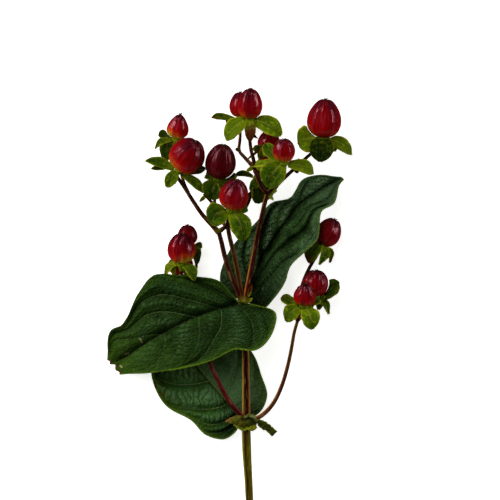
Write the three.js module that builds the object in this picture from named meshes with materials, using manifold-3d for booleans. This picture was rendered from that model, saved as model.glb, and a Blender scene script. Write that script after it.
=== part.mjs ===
// Hypericum berry stem, cut and laid down: a woody stem with two side branches and a head of three
// shoots, three large leaves, a torn leaf base, and sixteen berries that each stand on a calyx.
// Millimetres. +Y runs up the stem, +X to its right and +Z off the surface that it lies on.
import * as THREE from "three";
import { mergeVertices } from "three/addons/utils/BufferGeometryUtils.js";
import Module from "manifold-3d";

const wasm = await Module();
wasm.setup();

// ---------------------------------------------------------------- driving dimensions

const GAP = 0.3; // air between two pieces that touch
const LEAF_THICKNESS = 0.75;
const LEAF_COLUMNS = 8;
const LEAF_ROWS = 16;
const LEAF_QUILT = 0.7; // height of the bulges between a leaf's side veins
const SIDE_VEINS = 6; // on each half of a leaf

const SEPAL_THICKNESS = 0.62;
const SEPAL_COLUMNS = 2;
const SEPAL_ROWS = 4;
const BRACT_ROWS = 2;
const SEPAL_BOW_OUT = 2.2; // how far a sepal bows outward from the straight line to its tip
const SEPAL_BOW_UP = 1.7; // and towards its berry
const SEPAL_ROOT = 0.2; // breadth of a sepal at its root as a share of its widest
const SEPAL_CUP = 0.16; // rise of a sepal's edges as a share of their distance from its midrib
const SHOWN_SEPALS = 3; // the first sepals of a calyx turn their face up, the others stand edgewise

const BERRY_SIDES = 12;
const BERRY_RINGS = 7;
const BERRY_GROOVE = 0.1; // depth of the three grooves as a share of the radius
const BERRY_TAPER = 0.1; // how much narrower the crown half is than the base half
const STYLE_LENGTH = 1.5; // each of the three dry ends on the crown
const STYLE_RADIUS = 0.32;
const RECEPTACLE_RADIUS = 1.45;
const RECEPTACLE_HEIGHT = 1.4;
const STALK_END = 0.65; // from a receptacle to the middle of the stalk's end face, which may be slanted
const BERRY_CLEARANCE = GAP + SEPAL_THICKNESS / 2 + 0.35; // from a berry to a sepal's middle

const SHOOT_SIDES = 6;
const MAIN_STEM_SIDES = 8;
const SHOOT_STEP = 5.5; // length of one ring of a shoot
const FEWEST_STEPS = 4;
const SEAT = 0.35; // how deep a resting berry is pressed to its flat spot

// A head is a berry and its calyx. `base` and `top` are the ends of the berry's axis and `width` is its
// breadth. Each sepal is its tip and its breadth. A head that rests has its flat spot on the surface.
const HEADS = [
  {
    name: "left_small", base: [-18.5, 65.1, 7.0], top: [-17.1, 73.3, 9.2], width: 7.5,
    sepals: [
      [-24.7, 66.5, 7.6, 3.2], [-25.9, 61.4, 8.8, 2.4], [-22.2, 56.0, 4.6, 4.8],
      [-13.3, 61.6, 4.0, 3.6], [-16.8, 60.2, 2.4, 3.8],
    ],
  },
  {
    name: "left_large", base: [-17.5, 53.9, 13.0], top: [-11.4, 64.0, 18.0], width: 12.2,
    sepals: [
      [-29.2, 57.0, 12.6, 3.8], [-22.0, 47.9, 14.0, 4.4], [-9.1, 45.8, 13.6, 3.4],
      [-8.4, 54.4, 10.6, 3.8], [-12.6, 57.4, 6.6, 3.8],
    ],
  },
  {
    name: "centre_dark", base: [-3.8, 50.8, 13.0], top: [-1.9, 62.8, 17.0], width: 10.6,
    sepals: [
      [-7.0, 43.9, 16.2, 6.4], [-8.2, 51.8, 11.6, 3.2], [2.4, 51.8, 14.2, 3.0],
      [-1.0, 44.4, 16.8, 4.8], [-5.2, 53.2, 6.6, 4.0],
    ],
  },
  {
    name: "centre_front", base: [0.7, 39.9, 20.5], top: [3.1, 50.4, 24.0], width: 10.0,
    sepals: [
      [-7.2, 36.4, 22.4, 7.2], [5.2, 28.9, 24.4, 7.6], [6.3, 40.6, 17.4, 4.0],
      [-2.8, 35.3, 15.6, 4.4], [3.1, 34.6, 15.4, 4.4],
    ],
  },
  {
    name: "crown_back", base: [3.8, 72.3, 4.6], top: [4.0, 81.5, 5.0], width: 7.6,
    sepals: [
      [-6.3, 72.3, 6.4, 2.6], [0.3, 68.2, 3.2, 4.0], [7.0, 67.5, 2.8, 4.0],
      [9.4, 72.8, 2.6, 3.4], [2.4, 68.9, 6.8, 3.0],
    ],
  },
  {
    name: "crown_front", base: [7.2, 71.6, 13.0], top: [7.5, 82.4, 15.6], width: 8.7,
    sepals: [
      [-1.0, 64.2, 15.6, 6.2], [18.2, 65.8, 15.6, 6.6], [7.3, 63.3, 15.8, 4.4],
      [3.1, 70.3, 9.4, 4.0], [11.9, 68.9, 8.4, 4.2],
    ],
  },
  {
    name: "right_round", base: [19.2, 56.5, 18.5], top: [19.2, 64.6, 21.0], width: 8.0,
    sepals: [
      [13.6, 47.6, 22.0, 9.2], [29.7, 52.5, 17.4, 4.9], [12.2, 63.0, 14.4, 4.6],
      [8.2, 54.9, 16.8, 3.6], [23.8, 52.8, 12.6, 4.0],
    ],
  },
  {
    name: "right_tall", base: [32.9, 65.1, 9.5], top: [33.9, 78.9, 12.0], width: 11.9,
    sepals: [
      [24.5, 63.7, 11.6, 8.2], [31.8, 56.7, 14.0, 8.2], [43.0, 59.3, 9.8, 4.9],
      [29.0, 61.2, 3.6, 4.2], [37.1, 60.5, 4.2, 4.2],
    ],
  },
  {
    name: "back_upper", base: [13.3, 59.8, 4.0], top: [14.7, 68.1, 3.7], width: 7.8, rests: true,
    sepals: [
      [8.9, 61.8, 5.6, 2.6], [11.5, 56.3, 2.2, 3.2], [16.4, 56.3, 1.8, 3.2],
      [18.2, 60.5, 2.8, 3.0], [14.0, 56.7, 6.4, 2.8],
    ],
  },
  {
    name: "back_lower", base: [10.0, 51.1, 9.5], top: [15.0, 58.3, 8.2], width: 7.6,
    sepals: [
      [1.4, 51.3, 12.0, 2.2], [7.3, 46.7, 12.2, 3.6], [10.1, 42.3, 12.2, 5.6],
      [15.4, 48.6, 9.0, 3.8], [11.5, 47.9, 4.8, 3.8],
    ],
  },
  {
    name: "right_side_top", base: [32.4, 27.5, 5.2], top: [37.4, 36.8, 4.0], width: 9.0, rests: true,
    sepals: [
      [26.9, 21.7, 6.6, 4.6], [31.8, 20.8, 7.6, 3.2], [35.3, 21.7, 6.0, 2.8],
      [28.7, 25.9, 2.0, 3.4], [34.6, 24.1, 1.8, 3.2],
    ],
  },
  {
    name: "right_side_back", base: [29.9, 9.6, 6.0], top: [30.8, 18.9, 7.8], width: 9.4,
    sepals: [
      [38.5, 14.7, 7.6, 4.8], [32.4, 7.3, 8.6, 3.4], [34.8, 3.5, 7.0, 2.8],
      [24.0, 12.8, 5.0, 3.0], [31.5, 4.9, 2.4, 3.6],
    ],
  },
  {
    name: "right_side_front", base: [26.1, 6.6, 13.4], top: [26.9, 14.2, 16.4], width: 7.6,
    sepals: [
      [18.0, 9.1, 12.4, 3.6], [19.9, 1.0, 15.8, 5.6], [29.2, -1.8, 16.8, 6.8],
      [31.8, 8.4, 10.6, 3.4], [22.4, 3.4, 9.0, 3.4],
    ],
  },
  {
    name: "left_side_front", base: [-16.8, 21.2, 12.0], top: [-16.3, 31.8, 14.4], width: 9.9,
    sepals: [
      [-22.2, 16.6, 10.0, 2.8], [-18.9, 16.6, 10.2, 2.4], [-12.2, 15.4, 15.4, 4.6],
      [-21.7, 20.3, 9.0, 3.2], [-15.0, 17.1, 7.0, 3.6],
    ],
  },
  {
    name: "left_side_back", base: [-14.5, 27.5, 5.0], top: [-14.7, 34.8, 5.0], width: 7.0,
    sepals: [
      [-11.2, 21.0, 6.6, 3.2], [-10.0, 26.1, 6.2, 2.4], [-18.5, 24.5, 3.2, 3.0],
      [-15.0, 23.1, 1.6, 3.2], [-18.2, 28.3, 2.4, 2.8],
    ],
  },
  {
    name: "left_side_low", base: [-15.7, 17.5, 4.4], top: [-18.4, 23.8, 4.2], width: 8.7, rests: true,
    sepals: [
      [-12.6, 16.8, 6.2, 3.2], [-18.5, 14.0, 5.0, 3.2], [-15.0, 13.6, 2.0, 3.2],
      [-12.2, 18.9, 2.2, 3.0], [-20.6, 16.4, 2.2, 3.0],
    ],
  },
];

// A shoot is the points that it runs through, with its radius at its two ends. One that carries a berry
// runs on to that head's neck.
const SHOOTS = [
  {
    name: "main stem", radii: [1.25, 1.22, 1.22, 1.28, 1.4, 1.3, 1.3, 1.2], sides: MAIN_STEM_SIDES,
    points: [
      [8.2, -82.6, 1.2], [7.3, -65.1, 2.6], [6.8, -54.6, 4.2], [6.2, -44.1, 6.2], [6.0, -35.0, 8.4],
      [6.0, -26.6, 9.6], [5.8, -10.8, 11.6], [5.4, 1.4, 12.8], [5.2, 7.6, 13.3],
    ],
  },
  {
    name: "left shoot", radii: [0.95, 0.78],
    points: [
      [4.7, 7.0, 13.3], [3.0, 11.9, 14.0], [0.7, 17.1, 15.0], [-1.3, 23.1, 15.8], [-2.8, 29.4, 16.2],
      [-3.7, 32.7, 16.4],
    ],
  },
  {
    name: "left fork", radii: [0.7, 0.52], to: "left_large",
    points: [
      [-3.5, 32.0, 16.4], [-5.9, 34.5, 16.2], [-9.1, 38.0, 15.6], [-12.1, 42.3, 14.8],
      [-14.7, 46.4, 13.6], [-16.6, 49.3, 12.0],
    ],
  },
  {
    name: "small berry stalk", radii: [0.55, 0.5], to: "left_small",
    points: [[-14.4, 46.0, 13.7], [-16.1, 50.4, 9.0], [-17.5, 55.6, 5.5], [-18.6, 60.0, 5.2]],
  },
  {
    name: "right fork", radii: [0.65, 0.55], to: "centre_front",
    points: [[-3.7, 32.3, 16.3], [-2.3, 33.2, 17.0], [-0.9, 34.5, 18.0]],
  },
  {
    name: "middle shoot", radii: [0.95, 0.6], to: "back_lower",
    points: [
      [5.1, 7.0, 13.3], [4.0, 12.6, 14.0], [2.3, 21.7, 14.6], [1.0, 27.3, 14.8], [-0.2, 32.9, 14.6],
      [0.0, 36.0, 13.8], [2.1, 38.8, 12.6], [5.1, 40.1, 11.4], [7.0, 43.4, 9.6],
    ],
  },
  {
    name: "dark berry stalk", radii: [0.6, 0.5], to: "centre_dark",
    points: [[-0.1, 33.0, 14.5], [-3.5, 37.6, 13.6], [-5.0, 42.3, 12.6]],
  },
  {
    name: "failed stalk", radii: [0.55, 0.4],
    points: [[-4.7, 41.0, 12.9], [-6.9, 43.5, 13.2], [-8.9, 45.5, 13.6]],
  },
  {
    name: "right shoot", radii: [0.95, 0.75],
    points: [
      [5.5, 7.0, 13.3], [6.6, 13.3, 14.2], [8.4, 22.4, 14.8], [9.7, 29.4, 15.0], [11.2, 36.4, 15.0],
      [12.5, 42.3, 14.5], [13.6, 46.2, 14.0],
    ],
  },
  {
    name: "crown shoot", radii: [0.72, 0.68],
    points: [
      [13.4, 45.8, 14.0], [11.5, 47.9, 14.3], [10.3, 50.4, 14.4], [9.4, 53.2, 14.2], [8.8, 54.8, 13.8],
    ],
  },
  {
    name: "crown back stalk", radii: [0.66, 0.5], to: "crown_back",
    points: [
      [8.9, 54.5, 13.8], [7.3, 56.3, 12.5], [5.4, 58.4, 10.5], [3.6, 60.7, 8.5], [3.8, 64.4, 6.0],
      [3.9, 67.0, 4.9],
    ],
  },
  {
    name: "crown front stalk", radii: [0.66, 0.55], to: "crown_front",
    points: [[8.9, 54.3, 13.8], [8.6, 57.4, 13.7], [7.7, 60.9, 13.2], [7.3, 64.4, 12.6]],
  },
  {
    name: "tall berry stalk", radii: [0.66, 0.58], to: "right_tall",
    points: [
      [13.4, 45.6, 14.0], [16.8, 48.6, 12.0], [20.3, 52.0, 10.5], [24.5, 55.8, 9.5], [28.3, 59.3, 8.8],
    ],
  },
  {
    name: "round berry stalk", radii: [0.66, 0.55], to: "right_round",
    points: [[13.4, 45.7, 14.0], [15.6, 48.0, 15.2], [17.8, 51.0, 16.4]],
  },
  {
    name: "back berry stalk", radii: [0.6, 0.5], to: "back_upper",
    points: [[13.4, 45.7, 13.9], [16.3, 47.6, 10.0], [17.4, 50.8, 5.6], [15.2, 54.6, 3.9]],
  },
  {
    name: "left branch", radii: [0.85, 0.6],
    points: [
      [6.0, -34.6, 8.6], [3.5, -31.3, 10.2], [0.7, -28.0, 11.0], [-2.8, -22.0, 11.0],
      [-6.6, -14.0, 10.6], [-10.5, -4.5, 10.0], [-13.6, 4.9, 9.5], [-15.6, 11.9, 9.3],
      [-16.1, 15.4, 9.6],
    ],
  },
  {
    name: "left front stalk", radii: [0.55, 0.5], to: "left_side_front",
    points: [[-16.0, 14.8, 9.5], [-16.6, 17.0, 10.6]],
  },
  {
    name: "left back stalk", radii: [0.5, 0.5], to: "left_side_back",
    points: [[-16.0, 14.8, 9.5], [-12.4, 17.4, 8.0], [-11.5, 21.0, 5.0], [-12.7, 24.0, 4.3]],
  },
  {
    name: "left low stalk", radii: [0.5, 0.5], to: "left_side_low",
    points: [[-16.0, 14.8, 9.5], [-13.2, 13.2, 8.0], [-12.8, 13.6, 5.8]],
  },
  {
    name: "right branch", radii: [0.8, 0.55],
    points: [
      [6.2, -34.0, 8.6], [9.6, -33.1, 9.0], [12.2, -31.5, 9.2], [15.4, -28.0, 9.4],
      [18.2, -22.4, 9.6], [20.5, -15.0, 9.8], [21.9, -8.4, 9.8], [22.9, -2.8, 9.8], [24.1, 1.4, 10.0],
    ],
  },
  {
    name: "right front stalk", radii: [0.5, 0.5], to: "right_side_front",
    points: [[23.9, 1.0, 10.0], [24.7, 2.6, 11.0]],
  },
  {
    name: "right back stalk", radii: [0.5, 0.5], to: "right_side_back",
    points: [[23.9, 1.0, 10.0], [26.2, 3.3, 7.2], [28.6, 5.0, 5.6]],
  },
  {
    name: "right top stalk", radii: [0.5, 0.5], to: "right_side_top",
    points: [
      [23.9, 1.0, 10.0], [24.4, 4.5, 6.0], [24.9, 9.1, 2.6], [25.2, 14.0, 1.9], [26.8, 18.5, 2.6],
      [29.0, 22.4, 4.0],
    ],
  },
];

// Small bracts at the forks: root, tip and breadth.
const BRACTS = [
  [[6.4, 9.6, 14.6], [8.0, 14.2, 16.6], 1.3],
  [[6.6, 7.6, 13.8], [8.6, 9.6, 13.8], 1.5],
  [[-14.6, 46.2, 13.8], [-14.9, 48.6, 14.6], 1.1],
  [[-8.2, 44.8, 13.5], [-10.3, 42.9, 14.0], 1.3],
  [[13.4, 46.2, 14.2], [16.7, 46.6, 15.4], 2.0],
  [[13.9, 45.6, 14.0], [15.6, 43.2, 14.6], 1.3],
  [[8.8, 54.9, 13.9], [6.3, 53.6, 14.8], 1.4],
  [[8.9, 54.9, 13.9], [11.6, 54.3, 15.0], 1.6],
  [[3.7, 60.6, 8.6], [2.4, 61.4, 9.6], 1.0],
  [[24.3, 55.7, 9.5], [24.4, 58.0, 10.6], 1.2],
  [[23.9, 1.2, 10.1], [23.2, 4.0, 11.8], 1.6],
];

// Each leaf is its two edges and its midrib, from the stem to the tip, in matching stations.
const LEAVES = {
  front: {
    left: [
      [4.2, 7.7, 15.5], [1.4, 10.8, 14.9], [-3.5, 15.0, 13.6], [-10.1, 16.3, 12.8], [-17.8, 16.8, 12.2],
      [-26.2, 17.1, 11.0], [-31.8, 10.8, 9.0], [-37.4, -0.3, 6.5], [-41.6, -2.8, 5.0],
      [-42.7, -12.9, 3.2],
    ],
    rib: [
      [4.9, 7.3, 15.6], [3.1, 6.8, 15.6], [0.7, 6.1, 15.3], [-2.8, 5.1, 14.8], [-8.4, 3.5, 13.8],
      [-15.7, 0.3, 12.2], [-23.1, -3.5, 10.2], [-30.1, -7.7, 8.0], [-35.7, -11.5, 5.8],
      [-40.6, -14.3, 3.6],
    ],
    right: [
      [5.9, 7.3, 15.9], [10.1, 6.3, 17.2], [16.1, 3.8, 18.2], [15.0, -3.1, 18.2], [9.8, -8.8, 17.2],
      [2.4, -8.6, 16.0], [-5.9, -12.6, 14.2], [-17.1, -15.4, 11.5], [-27.6, -17.1, 8.0],
      [-38.5, -17.8, 4.0],
    ],
  },
  upper: {
    left: [
      [4.9, 8.0, 11.1], [1.0, 10.1, 10.5], [-3.1, 15.4, 9.5], [-1.0, 23.4, 9.0], [3.8, 30.1, 9.0],
      [10.1, 36.0, 8.8], [14.7, 42.0, 8.2], [21.7, 44.1, 7.4], [25.9, 50.4, 6.8], [31.1, 52.0, 6.4],
      [39.2, 51.3, 6.0],
    ],
    rib: [
      [5.9, 8.4, 11.1], [7.0, 10.8, 11.0], [8.4, 14.3, 10.5], [10.5, 19.9, 9.6], [13.6, 26.2, 9.0],
      [17.5, 31.8, 8.6], [21.0, 36.8, 8.4], [24.5, 41.3, 8.0], [29.0, 44.8, 7.6], [34.3, 48.3, 7.0],
      [39.9, 51.1, 6.0],
    ],
    right: [
      [7.7, 7.3, 11.0], [12.2, 5.6, 10.8], [16.1, 9.4, 10.4], [19.6, 14.7, 10.2], [21.3, 19.9, 10.5],
      [26.2, 25.2, 11.5], [30.8, 29.7, 12.2], [31.8, 35.7, 12.0], [32.5, 39.9, 11.0],
      [37.1, 42.3, 9.0], [40.1, 50.8, 6.0],
    ],
  },
  lower: {
    left: [
      [3.8, -34.6, 5.9], [1.8, -38.1, 5.0], [-2.4, -40.6, 3.0], [-8.0, -39.0, 1.5], [-13.6, -33.6, 1.2],
      [-22.0, -28.7, 1.5], [-26.9, -18.9, 2.5], [-25.2, -7.3, 2.0], [-18.5, 3.5, 1.2],
    ],
    rib: [
      [4.9, -33.9, 6.0], [3.8, -32.7, 5.8], [2.1, -30.8, 4.6], [-0.2, -28.0, 3.0], [-3.1, -24.5, 1.6],
      [-7.0, -19.9, 0.4], [-11.2, -14.7, 0.3], [-15.0, -7.3, 0.4], [-18.5, 3.8, 0.8],
    ],
    right: [
      [6.3, -33.2, 5.9], [8.4, -32.4, 6.2], [11.2, -30.4, 5.2], [13.3, -25.2, 4.4], [11.5, -18.9, 3.6],
      [8.4, -10.8, 3.0], [2.4, -3.8, 2.0], [-8.0, 2.1, 1.5], [-18.2, 4.2, 0.9],
    ],
  },
};

// The torn leaf base runs across the lower node. Each point is its middle and its breadth there.
const TORN_LEAF = [
  [-1.4, -33.9, 11.0, 1.0], [1.4, -33.6, 12.6, 3.4], [3.8, -34.1, 13.4, 4.6], [6.3, -34.5, 13.2, 4.4],
  [8.8, -34.8, 12.2, 3.2], [10.8, -35.0, 11.4, 2.6], [13.6, -36.8, 10.6, 2.8], [15.7, -38.5, 10.2, 1.4],
];
const TORN_LEAF_CRUMPLE = 0.5;

// ---------------------------------------------------------------- materials

const finish = (color, roughness) => new THREE.MeshStandardMaterial({ color, roughness, metalness: 0 });
const MATERIALS = {
  berry: () => finish(0x6e0d16, 0.25),
  calyx: () => finish(0x6f8a1f, 0.5),
  leaf: () => finish(0x26421f, 0.45),
  tornLeaf: () => finish(0x7c8a2a, 0.6),
  stem: () => finish(0x4f2412, 0.6),
};

// ---------------------------------------------------------------- solids

const UP = new THREE.Vector3(0, 0, 1);
const at = (point) => new THREE.Vector3(point[0], point[1], point[2]);

/** A closed geometry as a solid. */
function solidOf(geometry) {
  geometry.deleteAttribute("normal");
  geometry.deleteAttribute("uv");
  const merged = mergeVertices(geometry, 1e-4);
  const mesh = new wasm.Mesh({
    numProp: 3,
    vertProperties: new Float32Array(merged.attributes.position.array),
    triVerts: new Uint32Array(merged.index.array),
  });
  return new wasm.Manifold(mesh);
}

/** A solid's surface as a geometry. */
function geometryOf(solid) {
  const mesh = solid.getMesh();
  const geometry = new THREE.BufferGeometry();
  geometry.setAttribute("position", new THREE.BufferAttribute(mesh.vertProperties, 3));
  geometry.setIndex(new THREE.BufferAttribute(mesh.triVerts, 1));
  geometry.computeVertexNormals();
  return geometry;
}

const fuse = (solids) => solids.reduce((whole, solid) => whole.add(solid));

/** What of a solid is above the surface that the stem lies on. */
const aboveSurface = (solid) => solid.trimByPlane([0, 0, 1], 0);

/** Moves every vertex of a geometry to where `move` sends it. */
function reshape(geometry, move) {
  const position = geometry.attributes.position;
  const vertex = new THREE.Vector3();
  for (let i = 0; i < position.count; i++) {
    const moved = move(vertex.fromBufferAttribute(position, i));
    position.setXYZ(i, moved.x, moved.y, moved.z);
  }
  return geometry;
}

/** A round shoot along `points`, with its radii spread evenly over its length. */
function shoot(points, radii, sides = SHOOT_SIDES) {
  const curve = new THREE.CatmullRomCurve3(points);
  const steps = Math.max(FEWEST_STEPS, Math.round(curve.getLength() / SHOOT_STEP));
  const frames = curve.computeFrenetFrames(steps);
  const cylinder = new THREE.CylinderGeometry(1, 1, 1, sides, steps);
  return solidOf(
    reshape(cylinder, (vertex) => {
      const ring = Math.round((0.5 - vertex.y) * steps);
      const place = (ring / steps) * (radii.length - 1);
      const before = Math.min(Math.floor(place), radii.length - 2);
      const radius = THREE.MathUtils.lerp(radii[before], radii[before + 1], place - before);
      return curve
        .getPointAt(ring / steps)
        .addScaledVector(frames.normals[ring], vertex.x * radius)
        .addScaledVector(frames.binormals[ring], vertex.z * radius);
    }),
  );
}

/** A closed blade of even thickness about `sheet(u, v)`, both from 0 to 1. Its faces are split alike. */
function blade(sheet, columns, rows, thickness) {
  const middle = [];
  for (let j = 0; j <= rows; j++) {
    for (let i = 0; i <= columns; i++) middle.push(sheet(i / columns, j / rows));
  }
  const index = (i, j) => j * (columns + 1) + i;
  const clampedMiddle = (i, j) =>
    middle[index(THREE.MathUtils.clamp(i, 0, columns), THREE.MathUtils.clamp(j, 0, rows))];
  const upper = [];
  const lower = [];
  for (let j = 0; j <= rows; j++) {
    for (let i = 0; i <= columns; i++) {
      const across = clampedMiddle(i + 1, j).clone().sub(clampedMiddle(i - 1, j));
      const along = clampedMiddle(i, j + 1).clone().sub(clampedMiddle(i, j - 1));
      const half = across.cross(along).setLength(thickness / 2);
      upper.push(middle[index(i, j)].clone().add(half));
      lower.push(middle[index(i, j)].clone().sub(half));
    }
  }
  const count = middle.length;
  const faces = [];
  for (let j = 0; j < rows; j++) {
    for (let i = 0; i < columns; i++) {
      const [a, b, c, d] = [index(i, j), index(i + 1, j), index(i + 1, j + 1), index(i, j + 1)];
      faces.push(a, b, c, a, c, d);
      faces.push(a + count, c + count, b + count, a + count, d + count, c + count);
    }
  }
  const rim = [];
  for (let i = 0; i < columns; i++) rim.push(index(i, 0));
  for (let j = 0; j < rows; j++) rim.push(index(columns, j));
  for (let i = columns; i > 0; i--) rim.push(index(i, rows));
  for (let j = rows; j > 0; j--) rim.push(index(0, j));
  rim.forEach((p, k) => {
    const q = rim[(k + 1) % rim.length];
    faces.push(p + count, q + count, q, p + count, q, p);
  });
  const geometry = new THREE.BufferGeometry().setFromPoints([...upper, ...lower]);
  geometry.setIndex(faces);
  return solidOf(geometry);
}

// ---------------------------------------------------------------- berries and calyces

/** The measures of a head that its berry, calyx and stalk share. A resting head is let down to its seat. */
function measured(head) {
  const base = at(head.base);
  const top = at(head.top);
  const axis = top.clone().sub(base).normalize();
  const halfLength = top.distanceTo(base) / 2;
  const halfWidth = head.width / 2;
  const centre = base.clone().add(top).multiplyScalar(0.5);
  if (head.rests) {
    const reach = Math.hypot(halfLength * axis.z, halfWidth * Math.sqrt(1 - axis.z * axis.z));
    const drop = centre.z - reach + SEAT;
    base.z -= drop;
    centre.z -= drop;
  }
  const turn = new THREE.Quaternion().setFromUnitVectors(new THREE.Vector3(0, 1, 0), axis);
  return { ...head, base, centre, axis, halfLength, halfWidth, turn };
}

const heads = HEADS.map(measured);

/** The point at `distance` behind a head's berry, on its axis. */
const behind = (head, distance) => head.base.clone().addScaledVector(head.axis, -distance);

/** Where a head's stalk ends, just behind the receptacle. */
const neck = (head) => behind(head, GAP + RECEPTACLE_HEIGHT + STALK_END);

/** A berry: an egg with three grooves, and three dry style ends that curl apart on its crown. */
function berry(head) {
  const egg = new THREE.SphereGeometry(1, BERRY_SIDES, BERRY_RINGS);
  const place = (vertex) => vertex.applyQuaternion(head.turn).add(head.centre);
  reshape(egg, (vertex) => {
    const around = Math.atan2(vertex.z, vertex.x);
    const groove = 1 - BERRY_GROOVE * (1 - Math.abs(Math.sin(1.5 * around)));
    const breadth = head.halfWidth * groove * (1 - BERRY_TAPER * vertex.y);
    vertex.set(vertex.x * breadth, vertex.y * head.halfLength, vertex.z * breadth);
    return place(vertex);
  });
  const styles = [0, 1, 2].map((number) => {
    const cone = new THREE.ConeGeometry(STYLE_RADIUS, STYLE_LENGTH, 4);
    cone.translate(0, STYLE_LENGTH / 2, 0);
    cone.rotateZ(-0.75);
    cone.translate(0.15, head.halfLength - 0.45, 0);
    cone.rotateY((number * 2 * Math.PI) / 3 + 0.4);
    return solidOf(reshape(cone, place));
  });
  return aboveSurface(fuse([solidOf(egg), ...styles]));
}

/** Moves a point on a sepal's middle out of every berry that it would touch. */
function clearOfBerries(point) {
  for (const { centre, axis, halfLength, halfWidth } of heads) {
    const offset = point.clone().sub(centre);
    const along = offset.dot(axis);
    const aside = offset.clone().addScaledVector(axis, -along).length();
    const depth = Math.hypot(
      along / (halfLength + BERRY_CLEARANCE),
      aside / (halfWidth + BERRY_CLEARANCE),
    );
    if (depth < 1) point.copy(offset.divideScalar(depth).add(centre));
  }
  return point;
}

/** The breadth of a pointed blade at `v` from its root to its tip, as a share of the widest. */
const outline = (v) => Math.max(SEPAL_ROOT, Math.sin(Math.PI * 0.96 * v) ** 0.8);

/** A pointed blade along `spine`. `across` is the direction of its breadth. */
function pointedBlade(spine, width, across, rows = SEPAL_ROWS) {
  const sheet = (u, v) => {
    const reach = (u - 0.5) * width * outline(v);
    const face = across.clone().cross(spine.getTangent(v)).normalize();
    const point = spine.getPoint(v).addScaledVector(across, reach);
    return clearOfBerries(point.addScaledVector(face, SEPAL_CUP * Math.abs(reach)));
  };
  return blade(sheet, SEPAL_COLUMNS, rows, SEPAL_THICKNESS);
}

/** One sepal, from inside the receptacle to its tip, bowed outward and towards the berry. */
function sepal(head, [x, y, z, width], number) {
  const root = behind(head, GAP + RECEPTACLE_HEIGHT / 2);
  const tip = new THREE.Vector3(x, y, z);
  const line = tip.clone().sub(root);
  const outward = line.clone().addScaledVector(head.axis, -line.dot(head.axis)).normalize();
  root.addScaledVector(outward, RECEPTACLE_RADIUS / 2);
  const bow = root.clone().add(tip).multiplyScalar(0.5);
  bow.addScaledVector(outward, SEPAL_BOW_OUT).addScaledVector(head.axis, SEPAL_BOW_UP);
  const spine = new THREE.QuadraticBezierCurve3(root, bow, tip);
  const faceUp = line.clone().cross(UP).normalize();
  const edgewise = head.axis.clone().cross(outward);
  if (edgewise.dot(faceUp) < 0) edgewise.negate();
  const across = faceUp.lerp(edgewise, number < SHOWN_SEPALS ? 0.25 : 0.7).normalize();
  return pointedBlade(spine, width, across);
}

/** A calyx: the receptacle under a berry and its five sepals. */
function calyx(head) {
  const receptacle = new THREE.SphereGeometry(1, 6, 4);
  receptacle.scale(RECEPTACLE_RADIUS, RECEPTACLE_HEIGHT / 2, RECEPTACLE_RADIUS);
  const middle = behind(head, GAP + RECEPTACLE_HEIGHT / 2);
  reshape(receptacle, (vertex) => vertex.applyQuaternion(head.turn).add(middle));
  const sepals = head.sepals.map((given, number) => sepal(head, given, number));
  return aboveSurface(fuse([solidOf(receptacle), ...sepals]));
}

// ---------------------------------------------------------------- stem

/** A bract at a fork, face up. */
function bract([root, tip, width]) {
  const spine = new THREE.LineCurve3(at(root), at(tip));
  const across = spine.getTangent(0).cross(UP).normalize();
  return pointedBlade(spine, width, across, BRACT_ROWS);
}

/** The whole woody stem, with every stalk run on to its calyx. */
function stem() {
  const shoots = SHOOTS.map(({ points, radii, sides, to }) => {
    const route = points.map(at);
    if (to) route.push(neck(heads.find((head) => head.name === to)));
    return shoot(route, radii, sides);
  });
  return aboveSurface(fuse([...shoots, ...BRACTS.map(bract)]));
}

// ---------------------------------------------------------------- leaves

/** A leaf between its two edges, quilted between the side veins that run forward from its midrib. */
function leaf({ left, rib, right }) {
  const [leftEdge, midrib, rightEdge] = [left, rib, right].map(
    (points) => new THREE.CatmullRomCurve3(points.map(at)),
  );
  const sheet = (u, v) => {
    const fromRib = Math.abs(2 * u - 1);
    const edge = u < 0.5 ? leftEdge : rightEdge;
    const point = midrib.getPoint(v).lerp(edge.getPoint(v), fromRib);
    const between = Math.abs(Math.sin(Math.PI * (SIDE_VEINS * v - fromRib)));
    const fade = 4 * fromRib * (1 - fromRib) * Math.sin(Math.PI * v);
    point.z += LEAF_QUILT * between * fade;
    return point;
  };
  return aboveSurface(blade(sheet, LEAF_COLUMNS, LEAF_ROWS, LEAF_THICKNESS));
}

/** The torn leaf base: a crumpled strip across the lower node. */
function tornLeaf() {
  const spine = new THREE.CatmullRomCurve3(TORN_LEAF.map(at));
  const sheet = (u, v) => {
    const place = v * (TORN_LEAF.length - 1);
    const before = Math.min(Math.floor(place), TORN_LEAF.length - 2);
    const width = THREE.MathUtils.lerp(TORN_LEAF[before][3], TORN_LEAF[before + 1][3], place - before);
    const across = spine.getTangent(v).cross(UP).normalize();
    const point = spine.getPoint(v).addScaledVector(across, (u - 0.5) * width);
    point.z += TORN_LEAF_CRUMPLE * Math.sin(9 * v + 5 * u);
    return point;
  };
  return blade(sheet, 3, 12, LEAF_THICKNESS);
}

// ---------------------------------------------------------------- the whole

/** A named mesh of `solid`, held in `parent`'s own frame. */
function piece(name, solid, material, parent) {
  parent.updateMatrixWorld(true);
  const geometry = geometryOf(solid).applyMatrix4(parent.matrixWorld.clone().invert());
  const mesh = new THREE.Mesh(geometry, material());
  mesh.name = name;
  parent.add(mesh);
}

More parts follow.
